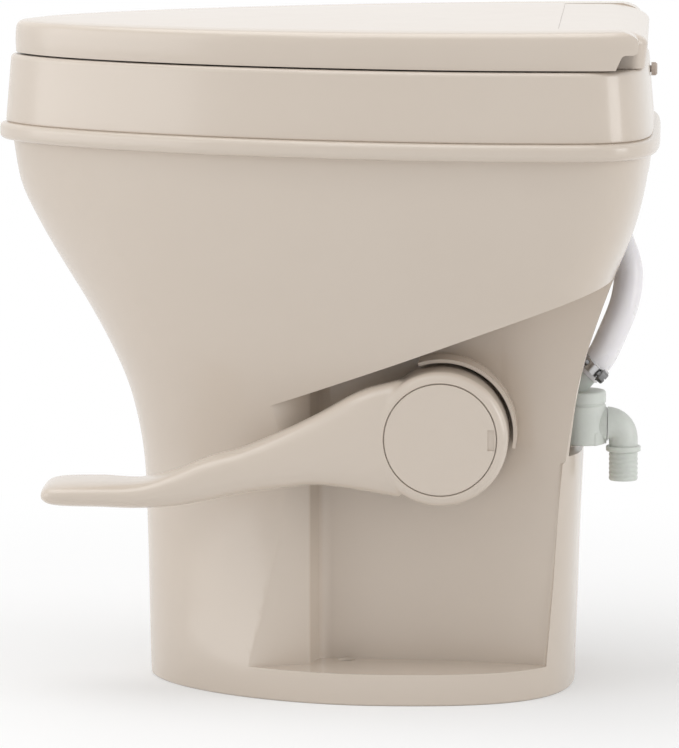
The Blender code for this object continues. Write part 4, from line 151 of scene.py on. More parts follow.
def bonePlastic():
    plain, warm, dull = (0.625, 0.545, 0.466), (0.600, 0.517, 0.434), (0.565, 0.487, 0.411)
    sheet = Sheet("bonePlastic")
    spot = sheet.place()
    drift = sheet.fit(sheet.noise(spot, 5.5, 2.0), 0.35, 0.68, 0.0, 1.0)  # slow drift of the pigment
    flow = sheet.noise(sheet.scaled(spot, (9.0, 9.0, 2.6)), 3.0, 4.0)  # the plastic's flow marks
    haze = sheet.fit(flow, 0.45, 0.75, 0.0, 0.35)
    specks = sheet.noise(spot, 2400.0, 2.0)
    color = sheet.blend(drift * 0.35, plain, warm)
    color = sheet.blend(haze * 0.06 + specks * 0.05, color, dull)
    rub = sheet.noise(spot, 34.0, 5.0, 0.62)
    peel = sheet.noise(spot, 420.0, 2.0, 0.4)  # faint orange peel of the moulded skin
    normal = sheet.bump(peel, 0.03, 0.0003)
    return sheet.close({
        "Base Color": color, "Roughness": sheet.fit(rub, 0.3, 0.75, 0.255, 0.272), "Normal": normal,
        "Coat Weight": 0.35, "Coat Roughness": 0.12, "IOR": 1.5, "Specular IOR Level": 0.5,
    })


def paleNylon():
    sheet = Sheet("paleNylon")
    spot = sheet.place()
    cloud = sheet.fit(sheet.noise(spot, 46.0, 3.0), 0.3, 0.7, 0.0, 1.0)
    color = sheet.blend(cloud, (0.65, 0.675, 0.63), (0.58, 0.605, 0.565))
    color = sheet.blend(sheet.noise(spot, 240.0, 2.0) * 0.25, color, (0.76, 0.78, 0.73))
    grain = sheet.noise(spot, 900.0, 2.0)
    normal = sheet.bump(grain, 0.16, 0.0004,
                        sheet.node("ShaderNodeBevel", {"samples": 4}, {"Radius": 0.0008}))
    return sheet.close({
        "Base Color": color, "Roughness": sheet.fit(cloud, 0.0, 1.0, 0.34, 0.46), "Normal": normal,
        "Subsurface Weight": 0.35, "Subsurface Radius": (0.6, 0.7, 0.6), "Subsurface Scale": 0.006,
    })


def whiteVinyl():
    sheet = Sheet("whiteVinyl")
    spot = sheet.place()
    cloud = sheet.fit(sheet.noise(spot, 30.0, 3.0), 0.3, 0.7, 0.0, 1.0)
    color = sheet.blend(cloud, (0.90, 0.875, 0.895), (0.82, 0.79, 0.815))
    streaks = sheet.noise(sheet.scaled(spot, (1.0, 1.0, 0.12)), 500.0, 2.0)
    normal = sheet.bump(streaks, 0.12, 0.0004)
    return sheet.close({
        "Base Color": color, "Roughness": sheet.fit(cloud, 0.0, 1.0, 0.22, 0.36), "Normal": normal,
        "Subsurface Weight": 0.5, "Subsurface Radius": (0.8, 0.8, 0.9), "Subsurface Scale": 0.006,
        "Coat Weight": 0.25, "Coat Roughness": 0.1,
    })


def plainMoulding(name, base, other, rough, grainSize, grainDepth):
    sheet = Sheet(name)
    spot = sheet.place()
    cloud = sheet.fit(sheet.noise(spot, 60.0, 4.0), 0.3, 0.7, 0.0, 1.0)
    grain = sheet.noise(spot, grainSize, 3.0)
    worn = sheet.fit(grain, 0.55, 0.8, 0.0, 0.35)
    color = sheet.blend(cloud * 0.6 + worn, base, other)
    normal = sheet.bump(grain, 0.25, grainDepth)
    return sheet.close({
        "Base Color": color, "Roughness": sheet.fit(cloud, 0.0, 1.0, rough, rough + 0.08), "Normal": normal,
    })


def platedSteel(name="platedSteel", tone=1.0):
    sheet = Sheet(name)
    spot = sheet.place()
    cloud = sheet.fit(sheet.noise(spot, 80.0, 4.0), 0.3, 0.7, 0.0, 1.0)
    scratches = sheet.noise(sheet.scaled(spot, (1.0, 12.0, 12.0)), 180.0, 4.0)
    bright, tarnished = (0.62, 0.62, 0.63), (0.47, 0.46, 0.45)
    color = sheet.blend(cloud, *(tuple(c * tone for c in shade) for shade in (bright, tarnished)))
    normal = sheet.bump(scratches, 0.14, 0.0003)
    return sheet.close({
        "Base Color": color, "Metallic": 1.0, "Roughness": sheet.fit(scratches, 0.3, 0.7, 0.24, 0.42),
        "Normal": normal,
    })


def seenDirectly(sheet):
    rays = [sheet.node("ShaderNodeLightPath", None, None, f"Is {kind} Ray")
            for kind in ("Camera", "Glossy", "Transmission")]
    return rays[0].maths("MAXIMUM", rays[0], rays[0].maths("MAXIMUM", rays[1], rays[2]))


def floorFinish():
    sheet = Sheet("floorFinish")
    spot = sheet.place()
    tone = backdrop["floor"]
    color = sheet.blend(sheet.noise(spot, 3.0, 2.0) * 0.3, tone, tuple(c * 0.985 for c in tone))
    plain = sheet.node("ShaderNodeBsdfDiffuse", None, {"Color": color})
    away = sheet.node("ShaderNodeVectorMath", {"operation": "LENGTH"}, {0: spot}, "Value")
    fade = sheet.node("ShaderNodeMapRange", {"interpolation_type": "SMOOTHSTEP"}, {
        "Value": away, "From Min": backdrop["fade"][0], "From Max": backdrop["fade"][1],
        "To Min": backdrop["lift"], "To Max": 1.0,
    })
    white = sheet.node("ShaderNodeEmission", None, {"Color": (1.0, 1.0, 1.0, 1.0)})
    both = sheet.node("ShaderNodeMixShader", None, {0: seenDirectly(sheet) * fade, 1: plain, 2: white})
    sheet.node("ShaderNodeOutputMaterial", None, {"Surface": both})
    return sheet.material


def setUpBackdrop():
    sheet = Sheet("studio", bpy.data.worlds)
    white = (1.0, 1.0, 1.0, 1.0)
    soft = sheet.node("ShaderNodeBackground", None, {"Color": white, "Strength": backdrop["ambient"]})
    bright = sheet.node("ShaderNodeBackground", None, {"Color": white})
    both = sheet.node("ShaderNodeMixShader", None, {0: seenDirectly(sheet), 1: soft, 2: bright})
    sheet.node("ShaderNodeOutputWorld", None, {"Surface": both})
    bpy.context.scene.world = sheet.material
    span = backdrop["span"]
    mesh = bpy.data.meshes.new("floor")
    mesh.from_pydata([(-span, -span, 0), (span, -span, 0), (span, span, 0), (-span, span, 0)], [],
                     [(0, 1, 2, 3)])
    floor = bpy.data.objects.new("floor", mesh)
    bpy.context.scene.collection.objects.link(floor)
    floor.data.materials.append(floorFinish())


setUpCamera()
setUpLamps()
setUpBackdrop()
bpy.context.scene.view_settings.view_transform = "Standard"
finishes = {
    "bone_plastic": bonePlastic(),
    "pale_nylon": paleNylon(),
    "white_vinyl": whiteVinyl(),
    "grey_acetal": plainMoulding("greyAcetal", (0.34, 0.35, 0.35), (0.26, 0.27, 0.27), 0.34, 700.0, 0.0003),
    "black_plastic": plainMoulding(
        "blackPlastic", (0.030, 0.030, 0.031), (0.05, 0.05, 0.05), 0.42, 900.0, 0.0003),
    "black_rubber": plainMoulding(
        "blackRubber", (0.020, 0.020, 0.020), (0.045, 0.043, 0.041), 0.68, 520.0, 0.0006),
    "bone_rubber": plainMoulding(
        "boneRubber", (0.50, 0.43, 0.375), (0.42, 0.355, 0.31), 0.55, 700.0, 0.0004),
    "steel": platedSteel(),
    "dark_steel": platedSteel("darkSteel", 0.42),
}
slots = {entry["node"]: entry["material_slot"] for entry in frame["record"]["subparts"]}
for name, thing in nodes.items():
    thing.data.materials.clear()
    thing.data.materials.append(finishes[slots[name]])
print("camera, lamps, backdrop and", len(finishes), "finishes are set")


# Mesh work
weld = 0.000002


def place(x=0.0, y=0.0, z=0.0, axis="Z"):
    turns = {
        "Z": Matrix.Identity(4),
        "X": Matrix(((0, 0, 1, 0), (0, 1, 0, 0), (-1, 0, 0, 0), (0, 0, 0, 1))),
        "Y": Matrix(((1, 0, 0, 0), (0, 0, 1, 0), (0, -1, 0, 0), (0, 0, 0, 1))),
    }
    return Matrix.Translation((x, y, z)) @ turns[axis]


def newObject(name, bm):
    bmesh.ops.remove_doubles(bm, verts=bm.verts, dist=weld)
    bmesh.ops.recalc_face_normals(bm, faces=bm.faces)
    mesh = bpy.data.meshes.new(name)
    bm.to_mesh(mesh)
    bm.free()
    made = bpy.data.objects.new(name, mesh)
    bpy.context.scene.collection.objects.link(made)
    return made


def joinRings(bm, low, high):
    count = max(len(low), len(high))
    for i in range(count if count > 1 else 0):
        j = (i + 1) % count
        corners = [low[i % len(low)], low[j % len(low)], high[j % len(high)], high[i % len(high)]]
        bm.faces.new(list(dict.fromkeys(corners)))


def turned(name, profile, where=None, sides=64):
    where = where or Matrix.Identity(4)
    bm = bmesh.new()
    rings = []
    for radius, height in profile:
        count = sides if radius > 0 else 1
        angles = [2 * pi * i / count for i in range(count)]
        rings.append([bm.verts.new(where @ Vector((radius * math.cos(a), radius * math.sin(a), height)))
                      for a in angles])
    for low, high in zip(rings, rings[1:] + rings[:1]):
        joinRings(bm, low, high)
    return newObject(name, bm)


def rod(name, radius, low, high, where=None, sides=64):
    return turned(name, [(0, low), (radius, low), (radius, high), (0, high)], where, sides)


def lofted(name, rings, closed=False):
    bm = bmesh.new()
    loops = [[bm.verts.new(point) for point in ring] for ring in rings]
    for low, high in zip(loops, loops[1:] + (loops[:1] if closed else [])):
        joinRings(bm, low, high)
    for loop in () if closed else (loops[0], loops[-1]):
        if len(loop) > 2:
            bm.faces.new(loop)
    return newObject(name, bm)


def block(name, where, size):
    bm = bmesh.new()
    bmesh.ops.create_cube(bm, size=1.0, matrix=where @ Matrix.Diagonal(size))
    return newObject(name, bm)


def pushed(name, outline, low, high, axis="Z"):
    spots = {"X": lambda u, v, w: (w, u, v), "Y": lambda u, v, w: (u, w, v), "Z": lambda u, v, w: (u, v, w)}
    return lofted(name, [[spots[axis](u, v, w) for u, v in outline] for w in (low, high)])


def tubeRings(points, radius, sides):
    spots = [Vector(p) for p in points]
    side = None
    rings = []
    for i, spot in enumerate(spots):
        ahead = (spots[min(i + 1, len(spots) - 1)] - spots[max(i - 1, 0)]).normalized()
        side = ahead.orthogonal() if side is None else side - ahead * side.dot(ahead)
        side.normalize()
        across = ahead.cross(side)
        wide = radius(i / (len(spots) - 1)) if callable(radius) else radius
        angles = [2 * pi * k / sides for k in range(sides)]
        rings.append([spot + (side * math.cos(a) + across * math.sin(a)) * wide for a in angles])
    return rings


def bake(target):
    bpy.context.view_layer.update()
    evaluated = target.evaluated_get(bpy.context.evaluated_depsgraph_get())
    mesh = bpy.data.meshes.new_from_object(evaluated)
    target.modifiers.clear()
    target.data = mesh
    return target


def combine(target, kind, tools, solver="MANIFOLD"):
    for tool in tools:
        modifier = target.modifiers.new(tool.name, "BOOLEAN")
        modifier.operation = kind
        modifier.solver = solver
        modifier.object = tool
    bake(target)
    for tool in tools:
        bpy.data.objects.remove(tool, do_unlink=True)
    return target


def cut(target, *tools, solver="MANIFOLD"):
    return combine(target, "DIFFERENCE", tools, solver)


def fuse(target, *tools, solver="MANIFOLD"):
    return combine(target, "UNION", tools, solver)


def settle(piece, body, name, angle=30.0, slot=None):
    slot = slot or slots[name]
    piece.data.shade_smooth()
    piece.data.set_sharp_from_angle(angle=math.radians(angle))
    weighted = piece.modifiers.new("weighted", "WEIGHTED_NORMAL")
    weighted.keep_sharp = True
    weighted.weight = 60
    piece.data.materials.clear()
    piece.data.materials.append(finishes[slot])
    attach(piece, body)
    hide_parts(name)
    return piece


def mixed(low, high, share):
    return low + (high - low) * share


def arc(u, v, radius, start, end, steps):
    angles = [mixed(start, end, i / steps) for i in range(steps + 1)]
    return [(u + radius * math.cos(a), v + radius * math.sin(a)) for a in angles]


def eased(edge, angles):
    # how far a rounded edge lies in from its two faces
    return [(edge * (1 - math.cos(a)), edge * (1 - math.sin(a))) for a in angles]


def smoothRows(rows, count, keep=()):
    # rows of numbers, first column the place along; a curve that goes through every row
    places = [row[0] for row in rows]
    slopes = []
    for i in range(len(rows)):
        a, b = max(i - 1, 0), min(i + 1, len(rows) - 1)
        slopes.append([(y - x) / (places[b] - places[a]) for x, y in zip(rows[a], rows[b])])
    wanted = sorted(set([mixed(places[0], places[-1], i / count) for i in range(count + 1)]) | set(keep))
    made = []
    for spot in wanted:
        i = 0
        while i < len(rows) - 2 and spot > places[i + 1]:
            i += 1
        span = places[i + 1] - places[i]
        t = (spot - places[i]) / span
        blend = (2 * t ** 3 - 3 * t ** 2 + 1, t ** 3 - 2 * t ** 2 + t, 3 * t ** 2 - 2 * t ** 3,
                 t ** 3 - t ** 2)
        made.append([
            blend[0] * a + blend[1] * span * p + blend[2] * b + blend[3] * span * q
            for a, b, p, q in zip(rows[i], rows[i + 1], slopes[i], slopes[i + 1])
        ])
    return made


def rounded(points, radii, steps=8):
    made = [points[0]]
    for before, corner, after, radius in zip(points, points[1:], points[2:], radii):
        spot = Vector(corner)
        back = (Vector(before) - spot).normalized()
        ahead = (Vector(after) - spot).normalized()
        half = back.angle(ahead) / 2
        if radius == 0 or abs(half - pi / 2) < 0.02:
            made.append(corner)
            continue
        reach = radius / math.tan(half)
        center = spot + (back + ahead).normalized() * (radius / math.sin(half))
        start = spot + back * reach - center
        turn = start.angle_signed(spot + ahead * reach - center)
        for i in range(steps + 1):
            angle = -turn * i / steps
            c, s = math.cos(angle), math.sin(angle)
            made.append((center.x + start.x * c - start.y * s, center.y + start.x * s + start.y * c))
    made.append(points[-1])
    return made


def offsetChain(points, distance):
    spots = [Vector(p) for p in points]
    lefts = []
    for low, high in zip(spots, spots[1:]):
        run = (high - low).normalized()
        lefts.append(Vector((-run.y, run.x)))
    made = []
    for i, spot in enumerate(spots):
        first, second = lefts[max(i - 1, 0)], lefts[min(i, len(lefts) - 1)]
        middle = (first + second).normalized()
        made.append(tuple(spot + middle * (distance / middle.dot(first))))
    return made


def mirrored(points):
    return [(-x, y) for x, y in reversed(points)]


def plan(halfWidth, front, rear, middle, frontPower, rearPower, sides=168):
    points = []
    for i in range(sides):
        angle = 2 * pi * i / sides
        power = rearPower if math.sin(angle) >= 0 else frontPower
        reach = rear - middle if math.sin(angle) >= 0 else middle - front
        c, s = math.cos(angle), math.sin(angle)
        x = halfWidth * math.copysign(abs(c) ** (2 / power), c)
        points.append((x, middle + reach * math.copysign(abs(s) ** (2 / power), s)))
    return points


def level(points, z):
    return [(x, y, z) for x, y in points]


overrun = 0.002  # how far a cutter passes a face
far = 0.2  # well past any piece that a cutter meets
rim = {  # the outline at the bead that goes round under the rim
    "halfLength": 0.245, "halfWidth": 0.187, "middle": 0.136, "frontPower": 1.63, "rearPower": 4.8,
    "beadBottom": 0.4006, "beadHeight": 0.0127, "top": 0.4638, "ledge": 0.016, "footInset": 0.0045,
    "topInset": 0.0085, "edge": 0.0036, "nose": 0.0042,
    "fillet": ((0.0, 0.0012), (0.0009, 0.0003), (0.002, 0.0002)),  # up and out, over the bead
}


def rimPlan(inset, sides=168):
    wide, long = rim["halfWidth"] - inset, rim["halfLength"] - inset
    return plan(wide, -long, long, rim["middle"], rim["frontPower"], rim["rearPower"], sides)


# Casing
casing = {
    "height": 0.4003, "wall": 0.004, "deck": 0.064,
    "front": (-0.1334, -0.2350), "rear": (0.184, 0.2395), "half": (0.1417, 0.1770),
    "middle": (0.042, 0.136),
    "frontPower": (1.75, 1.63), "rearPower": (2.88, 4.8), "footRounding": 0.002,
    "rows": (  # height, front, rear, width, widest place, squareness, all as shares
        (0.000, 0.000, 0.000, 0.000, 0.00, 0.00),
        (0.058, 0.007, 0.005, -0.025, 0.00, 0.04),
        (0.150, 0.014, 0.027, -0.360, 0.00, 0.32),
        (0.285, 0.026, 0.054, -0.700, 0.02, 0.74),
        (0.400, 0.045, 0.090, -0.800, 0.06, 1.00),
        (0.475, 0.089, 0.108, -0.700, 0.14, 1.00),
        (0.550, 0.170, 0.126, -0.445, 0.25, 1.00),
        (0.625, 0.302, 0.207, -0.105, 0.37, 1.00),
        (0.700, 0.464, 0.360, 0.221, 0.52, 1.00),
        (0.775, 0.646, 0.550, 0.533, 0.67, 1.00),
        (0.850, 0.815, 0.766, 0.773, 0.81, 1.00),
        (0.918, 0.940, 0.901, 0.915, 0.92, 1.00),
        (1.000, 1.000, 1.000, 1.000, 1.00, 1.00),
    ),
    "niche": ((0.200, -0.060), (0.110, -0.038), (0.095, -0.009), (0.068, -0.002), (0.072, 0.080),
              (0.083, 0.130), (0.0912, 0.157)),
    "nicheRear": (0.093, 0.200, 0.005), "nicheRadii": (0.0, 0.006, 0.009, 0.0, 0.0, 0.0, 0.004),
    "pillar": ((0.023, 0.164), (0.172, 0.1765), (0.182, 0.260)),  # height and depth of the rear corner
    "rollIn": (0.009, 0.004, 0.0040),  # the front side rolls into the niche: start, end, edge radius
    "rollTail": (0.0002, 0.012, 0.0022, 0.030), "rollReach": 0.03,  # the cutter outside the casing
    "rollLevels": (0.023, 0.032, 0.045, 0.060, 0.080, 0.100, 0.120, 0.140, 0.160, 0.172, 0.182, 0.196,
                   0.2134),
    "nicheFloor": 0.023, "nicheTop": (0.227, -0.004), "slope": math.radians(20.6),
    "bay": ((0.083, 0.130), (0.093, 0.164), (0.093, 0.260)), "bayRadii": (0.004, 0.004, 0.0, 0.004),
    "bayFloor": 0.177, "bayTop": 0.385, "partitionTop": 0.350,
    "bolt": (0.076, 0.017, 0.0055),
    "boss": (0.017, 0.070, 0.087), "shaftHole": (0.0113, 0.012, 0.112), "drainHole": 0.040,
    "screwHole": 0.0023,
    "wallHoles": (0.124, 0.132),
    "screws": ((0.032, 0.182), (0.006, 0.210), (0.0285, 0.196), (0.0715, 0.196)),
    "stem": (0.050, 0.196, 0.0063), "housingScrew": 0.0565, "sink": (0.0215, 0.0240, 0.002),
    "cornerRoom": 0.0035,
    "collar": (0.0545, 0.052, math.radians(-11), math.radians(108.7), 0.112),
}
axis = {"pedal": (0.088, 0.196), "hinge": (0.2075, 0.486), "drain": 0.017, "pinBore": 0.0031}


def casingRing(row, inset, z):
    _, front, rear, width, middle, square = row
    points = plan(
        mixed(*casing["half"], width) - inset, mixed(*casing["front"], front) + inset,
        mixed(*casing["rear"], rear) - inset, mixed(*casing["middle"], middle),
        mixed(*casing["frontPower"], middle), mixed(*casing["rearPower"], min(max(square, 0.0), 1.0)),
    )
    return level(points, z)


def casingRings(bottom, top, inset=0.0, count=54):
    height = casing["height"]
    rows = smoothRows(casing["rows"], count, (max(bottom, 0.0) / height, min(top / height, 1.0)))
    kept = [row for row in rows if bottom - 1e-6 <= row[0] * height <= top + 1e-6]
    rings = [casingRing(row, inset, row[0] * height) for row in kept]
    if bottom < 0:
        rings.insert(0, casingRing(rows[0], inset, bottom))
    if top > height:
        rings.append(casingRing(rows[-1], inset, top))
    return rings


def rollIn(z):
    # from the casing's side to the sharp edge of the niche, on one level
    row = smoothRows(casing["rows"], 1, (z / casing["height"],))[1]
    ring = [Vector((x, y)) for x, y, _ in casingRing(row, 0.0, z) if x > 0 and y < casing["rollReach"]]
    ring.sort(key=lambda point: -point.y)
    lip, edge = Vector(casing["niche"][1]), Vector(casing["niche"][2])
    run = (lip - edge).normalized()
    side = Vector((-run.y, run.x))
    k = next(i for i, point in enumerate(ring) if (point - edge).dot(side) < 0)
    a, b = (ring[k - 1] - edge).dot(side), (ring[k] - edge).dot(side)
    meet = ring[k - 1].lerp(ring[k], a / (a - b))
    ahead, shortfall = casing["rollIn"][:2]
    start, left = meet, ahead
    for point in ring[k:]:
        if (point - start).length >= left:
            start = start + (point - start).normalized() * left
            way = (point - start).normalized()
            break
        left -= (point - start).length
        start = point
    away = Vector((-way.y, way.x))
    proud, along, out, back = casing["rollTail"]
    start = start + away * proud
    end = edge + run * shortfall
    points = [(casing["nicheRear"][1], start.y - back), tuple(start + way * along + away * out)]
    points += [tuple(start.lerp(meet, t).lerp(meet.lerp(end, t), t)) for t in (i / 14 for i in range(15))]
    return points


def rolledNiche(name, flip):
    rearX, outX, step = casing["nicheRear"]
    pillar = casing["pillar"]
    z0, y0 = casing["nicheTop"]
    rings = []
    for z in casing["rollLevels"]:
        high = next((i for i in range(1, len(pillar)) if pillar[i][0] >= z), len(pillar) - 1)
        share = min((z - pillar[high - 1][0]) / (pillar[high][0] - pillar[high - 1][0]), 1.0)
        rear = mixed(pillar[high - 1][1], pillar[high][1], share)
        front = rollIn(z)
        chain = [*casing["niche"][2:], (rearX, rear), (outX, rear + step)]
        radii = (casing["rollIn"][2], *casing["nicheRadii"][2:])
        points = front + rounded([front[-1], *chain], radii)[1:]
        points = mirrored(points) if flip else points
        if z < casing["rollLevels"][-1]:
            rings.append(level(points, z))
        else:
            rings.append([(x, y, z0 + math.tan(casing["slope"]) * (y - y0)) for x, y in points])
    return lofted(name, rings)


def nicheTool(name, growth=0.0, flip=False):
    rearX, outX, step = casing["nicheRear"]
    rings = []
    for height, rear in casing["pillar"]:
        chain = [*casing["niche"], (rearX, rear), (outX, rear + step)]
        points = offsetChain(rounded(chain, casing["nicheRadii"]), growth)
        points = mirrored(points) if flip else points
        rings.append(level(points, height - (growth if not rings else 0.0)))
    z, y0 = casing["nicheTop"]
    slope = casing["slope"]
    lift = z + growth / math.cos(slope)
    rings.append([(x, y, lift + math.tan(slope) * (y - y0)) for x, y, _ in rings[-1]])
    return lofted(name, rings)


def bayTool(name, growth, top):
    wall = casing["wall"]
    (x, y), *others = casing["bay"]
    side = [(x - wall + growth, y - growth)] + [(u - wall + growth, v) for u, v in others]
    points = side + mirrored(side)
    if growth == 0:
        points = rounded(points, casing["bayRadii"], 3)
    return pushed(name, points, casing["bayFloor"] - growth, top)


def makeCasing():
    wall, deck, height = casing["wall"], casing["deck"], casing["height"]
    rings = casingRings(0.0, height)
    foot = casing["footRounding"]
    low = [casingRing(casing["rows"][0], v, u) for u, v in eased(foot, (0.0, 0.4, 0.8, 1.2))]
    shell = lofted("casing", low + rings[1:])
    cut(shell, rolledNiche("nicheRight", False), rolledNiche("nicheLeft", True))
    y, z = axis["pedal"]
    outer, inner, start, end, reach = casing["collar"]
    band = arc(y, z, outer, start, end, 40) + arc(y, z, inner, end, start, 40)
    collar = pushed("collar", band, casing["boss"][1], reach, "X")
    axle = place(y=y, z=z, axis="X")
    fuse(shell, collar, rod("boss", *casing["boss"], axle))
    upper = lofted("upper", casingRings(deck, height + overrun, wall, 26))
    lower = lofted("lower", casingRings(-overrun, deck - wall, wall, 26))
    thick = wall + casing["cornerRoom"]
    cut(upper, nicheTool("wallRight", thick), nicheTool("wallLeft", thick, True),
        bayTool("bayWall", wall, casing["partitionTop"]))
    cut(lower, nicheTool("wallRight2", thick), nicheTool("wallLeft2", thick, True))
    cut(shell, upper, lower, bayTool("baySpace", 0.0, casing["bayTop"]))
    floor = (deck - wall - overrun, deck + overrun)
    cut(shell, rod("shaftHole", *casing["shaftHole"], axle, 40))
    cut(shell, rod("drainHole", casing["drainHole"], *floor, place(y=axis["drain"])))
    x, y, radius = casing["bolt"]
    for side in (-1, 1):
        spot = place(side * x, y)
        low, high, flare = casing["sink"]
        cut(shell, rod("boltHole", radius, 0.0, casing["nicheFloor"] + overrun, spot, 40))
        sink = [(0, low), (radius, low), (radius + flare, high), (0, high)]
        cut(shell, turned("boltSink", sink, spot, 40))
    for y in (axis["drain"] - casing["housingScrew"], axis["drain"] + casing["housingScrew"]):
        cut(shell, rod("deckHole", casing["screwHole"], *floor, place(0, y), 16))
    for x, z in casing["screws"]:
        cut(shell, rod("smallHole", casing["screwHole"], *casing["wallHoles"], place(x, 0, z, "Y"), 16))
    x, z, radius = casing["stem"]
    cut(shell, rod("stemHole", radius, *casing["wallHoles"], place(x, 0, z, "Y"), 32))
    return settle(shell, "base", "pedestal_shell", 28)


# Bowl and rim, one moulding
basin = {
    "wall": 0.0045, "outlet": 0.028, "outletZ": 0.210, "front": -0.187, "rear": 0.163, "half": 0.128,
    "rows": (  # height, front, rear, width
        (0.000, 0.000, 0.000, 0.000),
        (0.045, 0.000, 0.000, 0.000),
        (0.130, 0.180, 0.135, 0.165),
        (0.290, 0.450, 0.315, 0.440),
        (0.490, 0.735, 0.545, 0.725),
        (0.700, 0.905, 0.770, 0.900),
        (0.880, 0.980, 0.930, 0.975),
        (1.000, 1.000, 1.000, 1.000),
    ),
    "hingeHole": (0.090, 0.203, 0.0033),
    "nozzle": (0.380, 0.0078, 0.0155), "nozzleBoss": (0.122, 0.146), "nozzleHole": (0.017, 0.26),
    "flange": (0.053, 0.210, 0.214), "stopHole": (0.0028, 0.227, 0.245), "stopZ": 0.4538, "rimSkin": 0.004,
}


def basinRings(growth, bottom, top):
    y = axis["drain"]
    rise = rim["top"] - basin["outletZ"]
    rings = []
    for height, front, rear, width in smoothRows(basin["rows"], 46):
        points = plan(
            mixed(basin["outlet"], basin["half"], width) + growth,
            mixed(y - basin["outlet"], basin["front"], front) - growth,
            mixed(y + basin["outlet"], basin["rear"], rear) + growth, y, 2.0, 2.0, 120,
        )
        rings.append(level(points, basin["outletZ"] + height * rise))
    rings[0] = [(a, b, bottom) for a, b, _ in rings[0]]
    rings[-1] = [(a, b, top) for a, b, _ in rings[-1]]
    return rings


def makeBowl():
    low, high = rim["beadBottom"], rim["beadBottom"] + rim["beadHeight"]
    nose = rim["nose"]
    rows = [(low, nose)]
    rows += [(low + u, v) for u, v in eased(nose, (0.4, 0.8, 1.2, pi / 2))]
    rows += [(high - u, v) for u, v in eased(nose, (pi / 2, 1.2, 0.8, 0.4))]
    edge, top, inset, foot = rim["edge"], rim["top"], rim["topInset"], rim["footInset"]
    rows += [(high + up, foot + out) for up, out in rim["fillet"][:2]]
    up, out = rim["fillet"][2]
    rows += [(mixed(high + up, top - edge, t), mixed(foot + out, inset, t)) for t in (0.0, 0.33, 0.67, 1.0)]
    rows += [(top - v, inset + u) for u, v in eased(edge, (0.35, 0.75, 1.15, pi / 2))]
    made = lofted("bowlAndRim", [level(rimPlan(inset), z) for z, inset in rows])
    cut(made, pushed("rimHollow", rimPlan(rim["ledge"]), low - overrun, top - basin["rimSkin"]))
    wall = basin["wall"]
    funnel = lofted("funnel", basinRings(wall, basin["outletZ"] + overrun, top - overrun))
    nozzle = place(z=basin["nozzle"][0], axis="Y")
    fuse(funnel, rod("flange", *basin["flange"], place(y=axis["drain"])))
    fuse(funnel, rod("boss", basin["nozzle"][2], *basin["nozzleBoss"], nozzle))
    fuse(made, funnel)
    cut(made, lofted("space", basinRings(0.0, basin["outletZ"] - overrun, top + overrun)))
    cut(made, rod("nozzleHole", basin["nozzle"][1], *basin["nozzleHole"], nozzle))
    x, y, radius = basin["hingeHole"]
    for side in (-1, 1):
        cut(made, rod("hingeHole", radius, top - basin["rimSkin"] - overrun, top + overrun,
                      place(side * x, y), 24))
    cut(made, rod("stopHole", *basin["stopHole"], place(z=basin["stopZ"], axis="Y"), 24))
    return settle(made, "base", "bowl", 32)


# Seat ring
seatRing = {
    "inset": 0.0215, "rear": 0.166, "middle": 0.120, "bottom": 0.470, "top": 0.486, "edge": 0.0045,
    "lowEdge": 0.0015,
    "hole": (0.106, -0.158, 0.116, -0.010, 2.15), "holeEdge": 0.008,
    "earEnds": (0.139, 0.147), "earDisc": 0.0052, "pinReach": 0.149,
    "ear": ((-0.022, -0.0065), (-0.028, -0.0080), (-0.042, -0.0150), (-0.058, -0.0150), (-0.058, -0.0010),
            (-0.042, -0.0010), (-0.022, 0.0025), (-0.006, 0.0036)),
}


def makeSeat():
    s = seatRing
    rows = [(s["bottom"] + u, v) for u, v in eased(s["lowEdge"], (0.0, 0.6, pi / 2))]
    rows += [(s["top"] - v, u) for u, v in eased(s["edge"], (0.0, 0.3, 0.6, 0.9, 1.2, pi / 2))]
    rings = []
    for z, inset in rows:
        edge = s["inset"] + inset
        wide, long = rim["halfWidth"] - edge, rim["halfLength"] - edge
        rings.append(level(plan(wide, -long, s["rear"] - inset, s["middle"], rim["frontPower"], 5.0), z))
    made = lofted("seatRing", rings)
    half, front, rear, middle, power = s["hole"]
    reach = s["holeEdge"]
    rows = [(s["bottom"] - overrun, 0.0), (s["top"] - reach, 0.0)]
    rows += [(s["top"] - v, u * 0.9) for u, v in eased(reach, (0.25, 0.5, 0.75, 1.0, 1.3, pi / 2))]
    rows.append((s["top"] + overrun, reach))
    rings = [level(plan(half + g, front - g, rear + g, middle, power, power, 120), z) for z, g in rows]
    cut(made, lofted("seatHole", rings))
    y, z = axis["hinge"]
    for side in (-1, 1):
        ends = sorted(side * end for end in s["earEnds"])
        points = arc(y, z, s["earDisc"], pi / 2, -pi / 2, 24) + [(y + a, z + b) for a, b in s["ear"]]
        fuse(made, pushed("ear", points, *ends, "X"))
    cut(made, rod("pinBore", axis["pinBore"], -s["pinReach"], s["pinReach"], place(y=y, z=z, axis="X"), 32))
    return settle(made, "seat", "seat", 32)


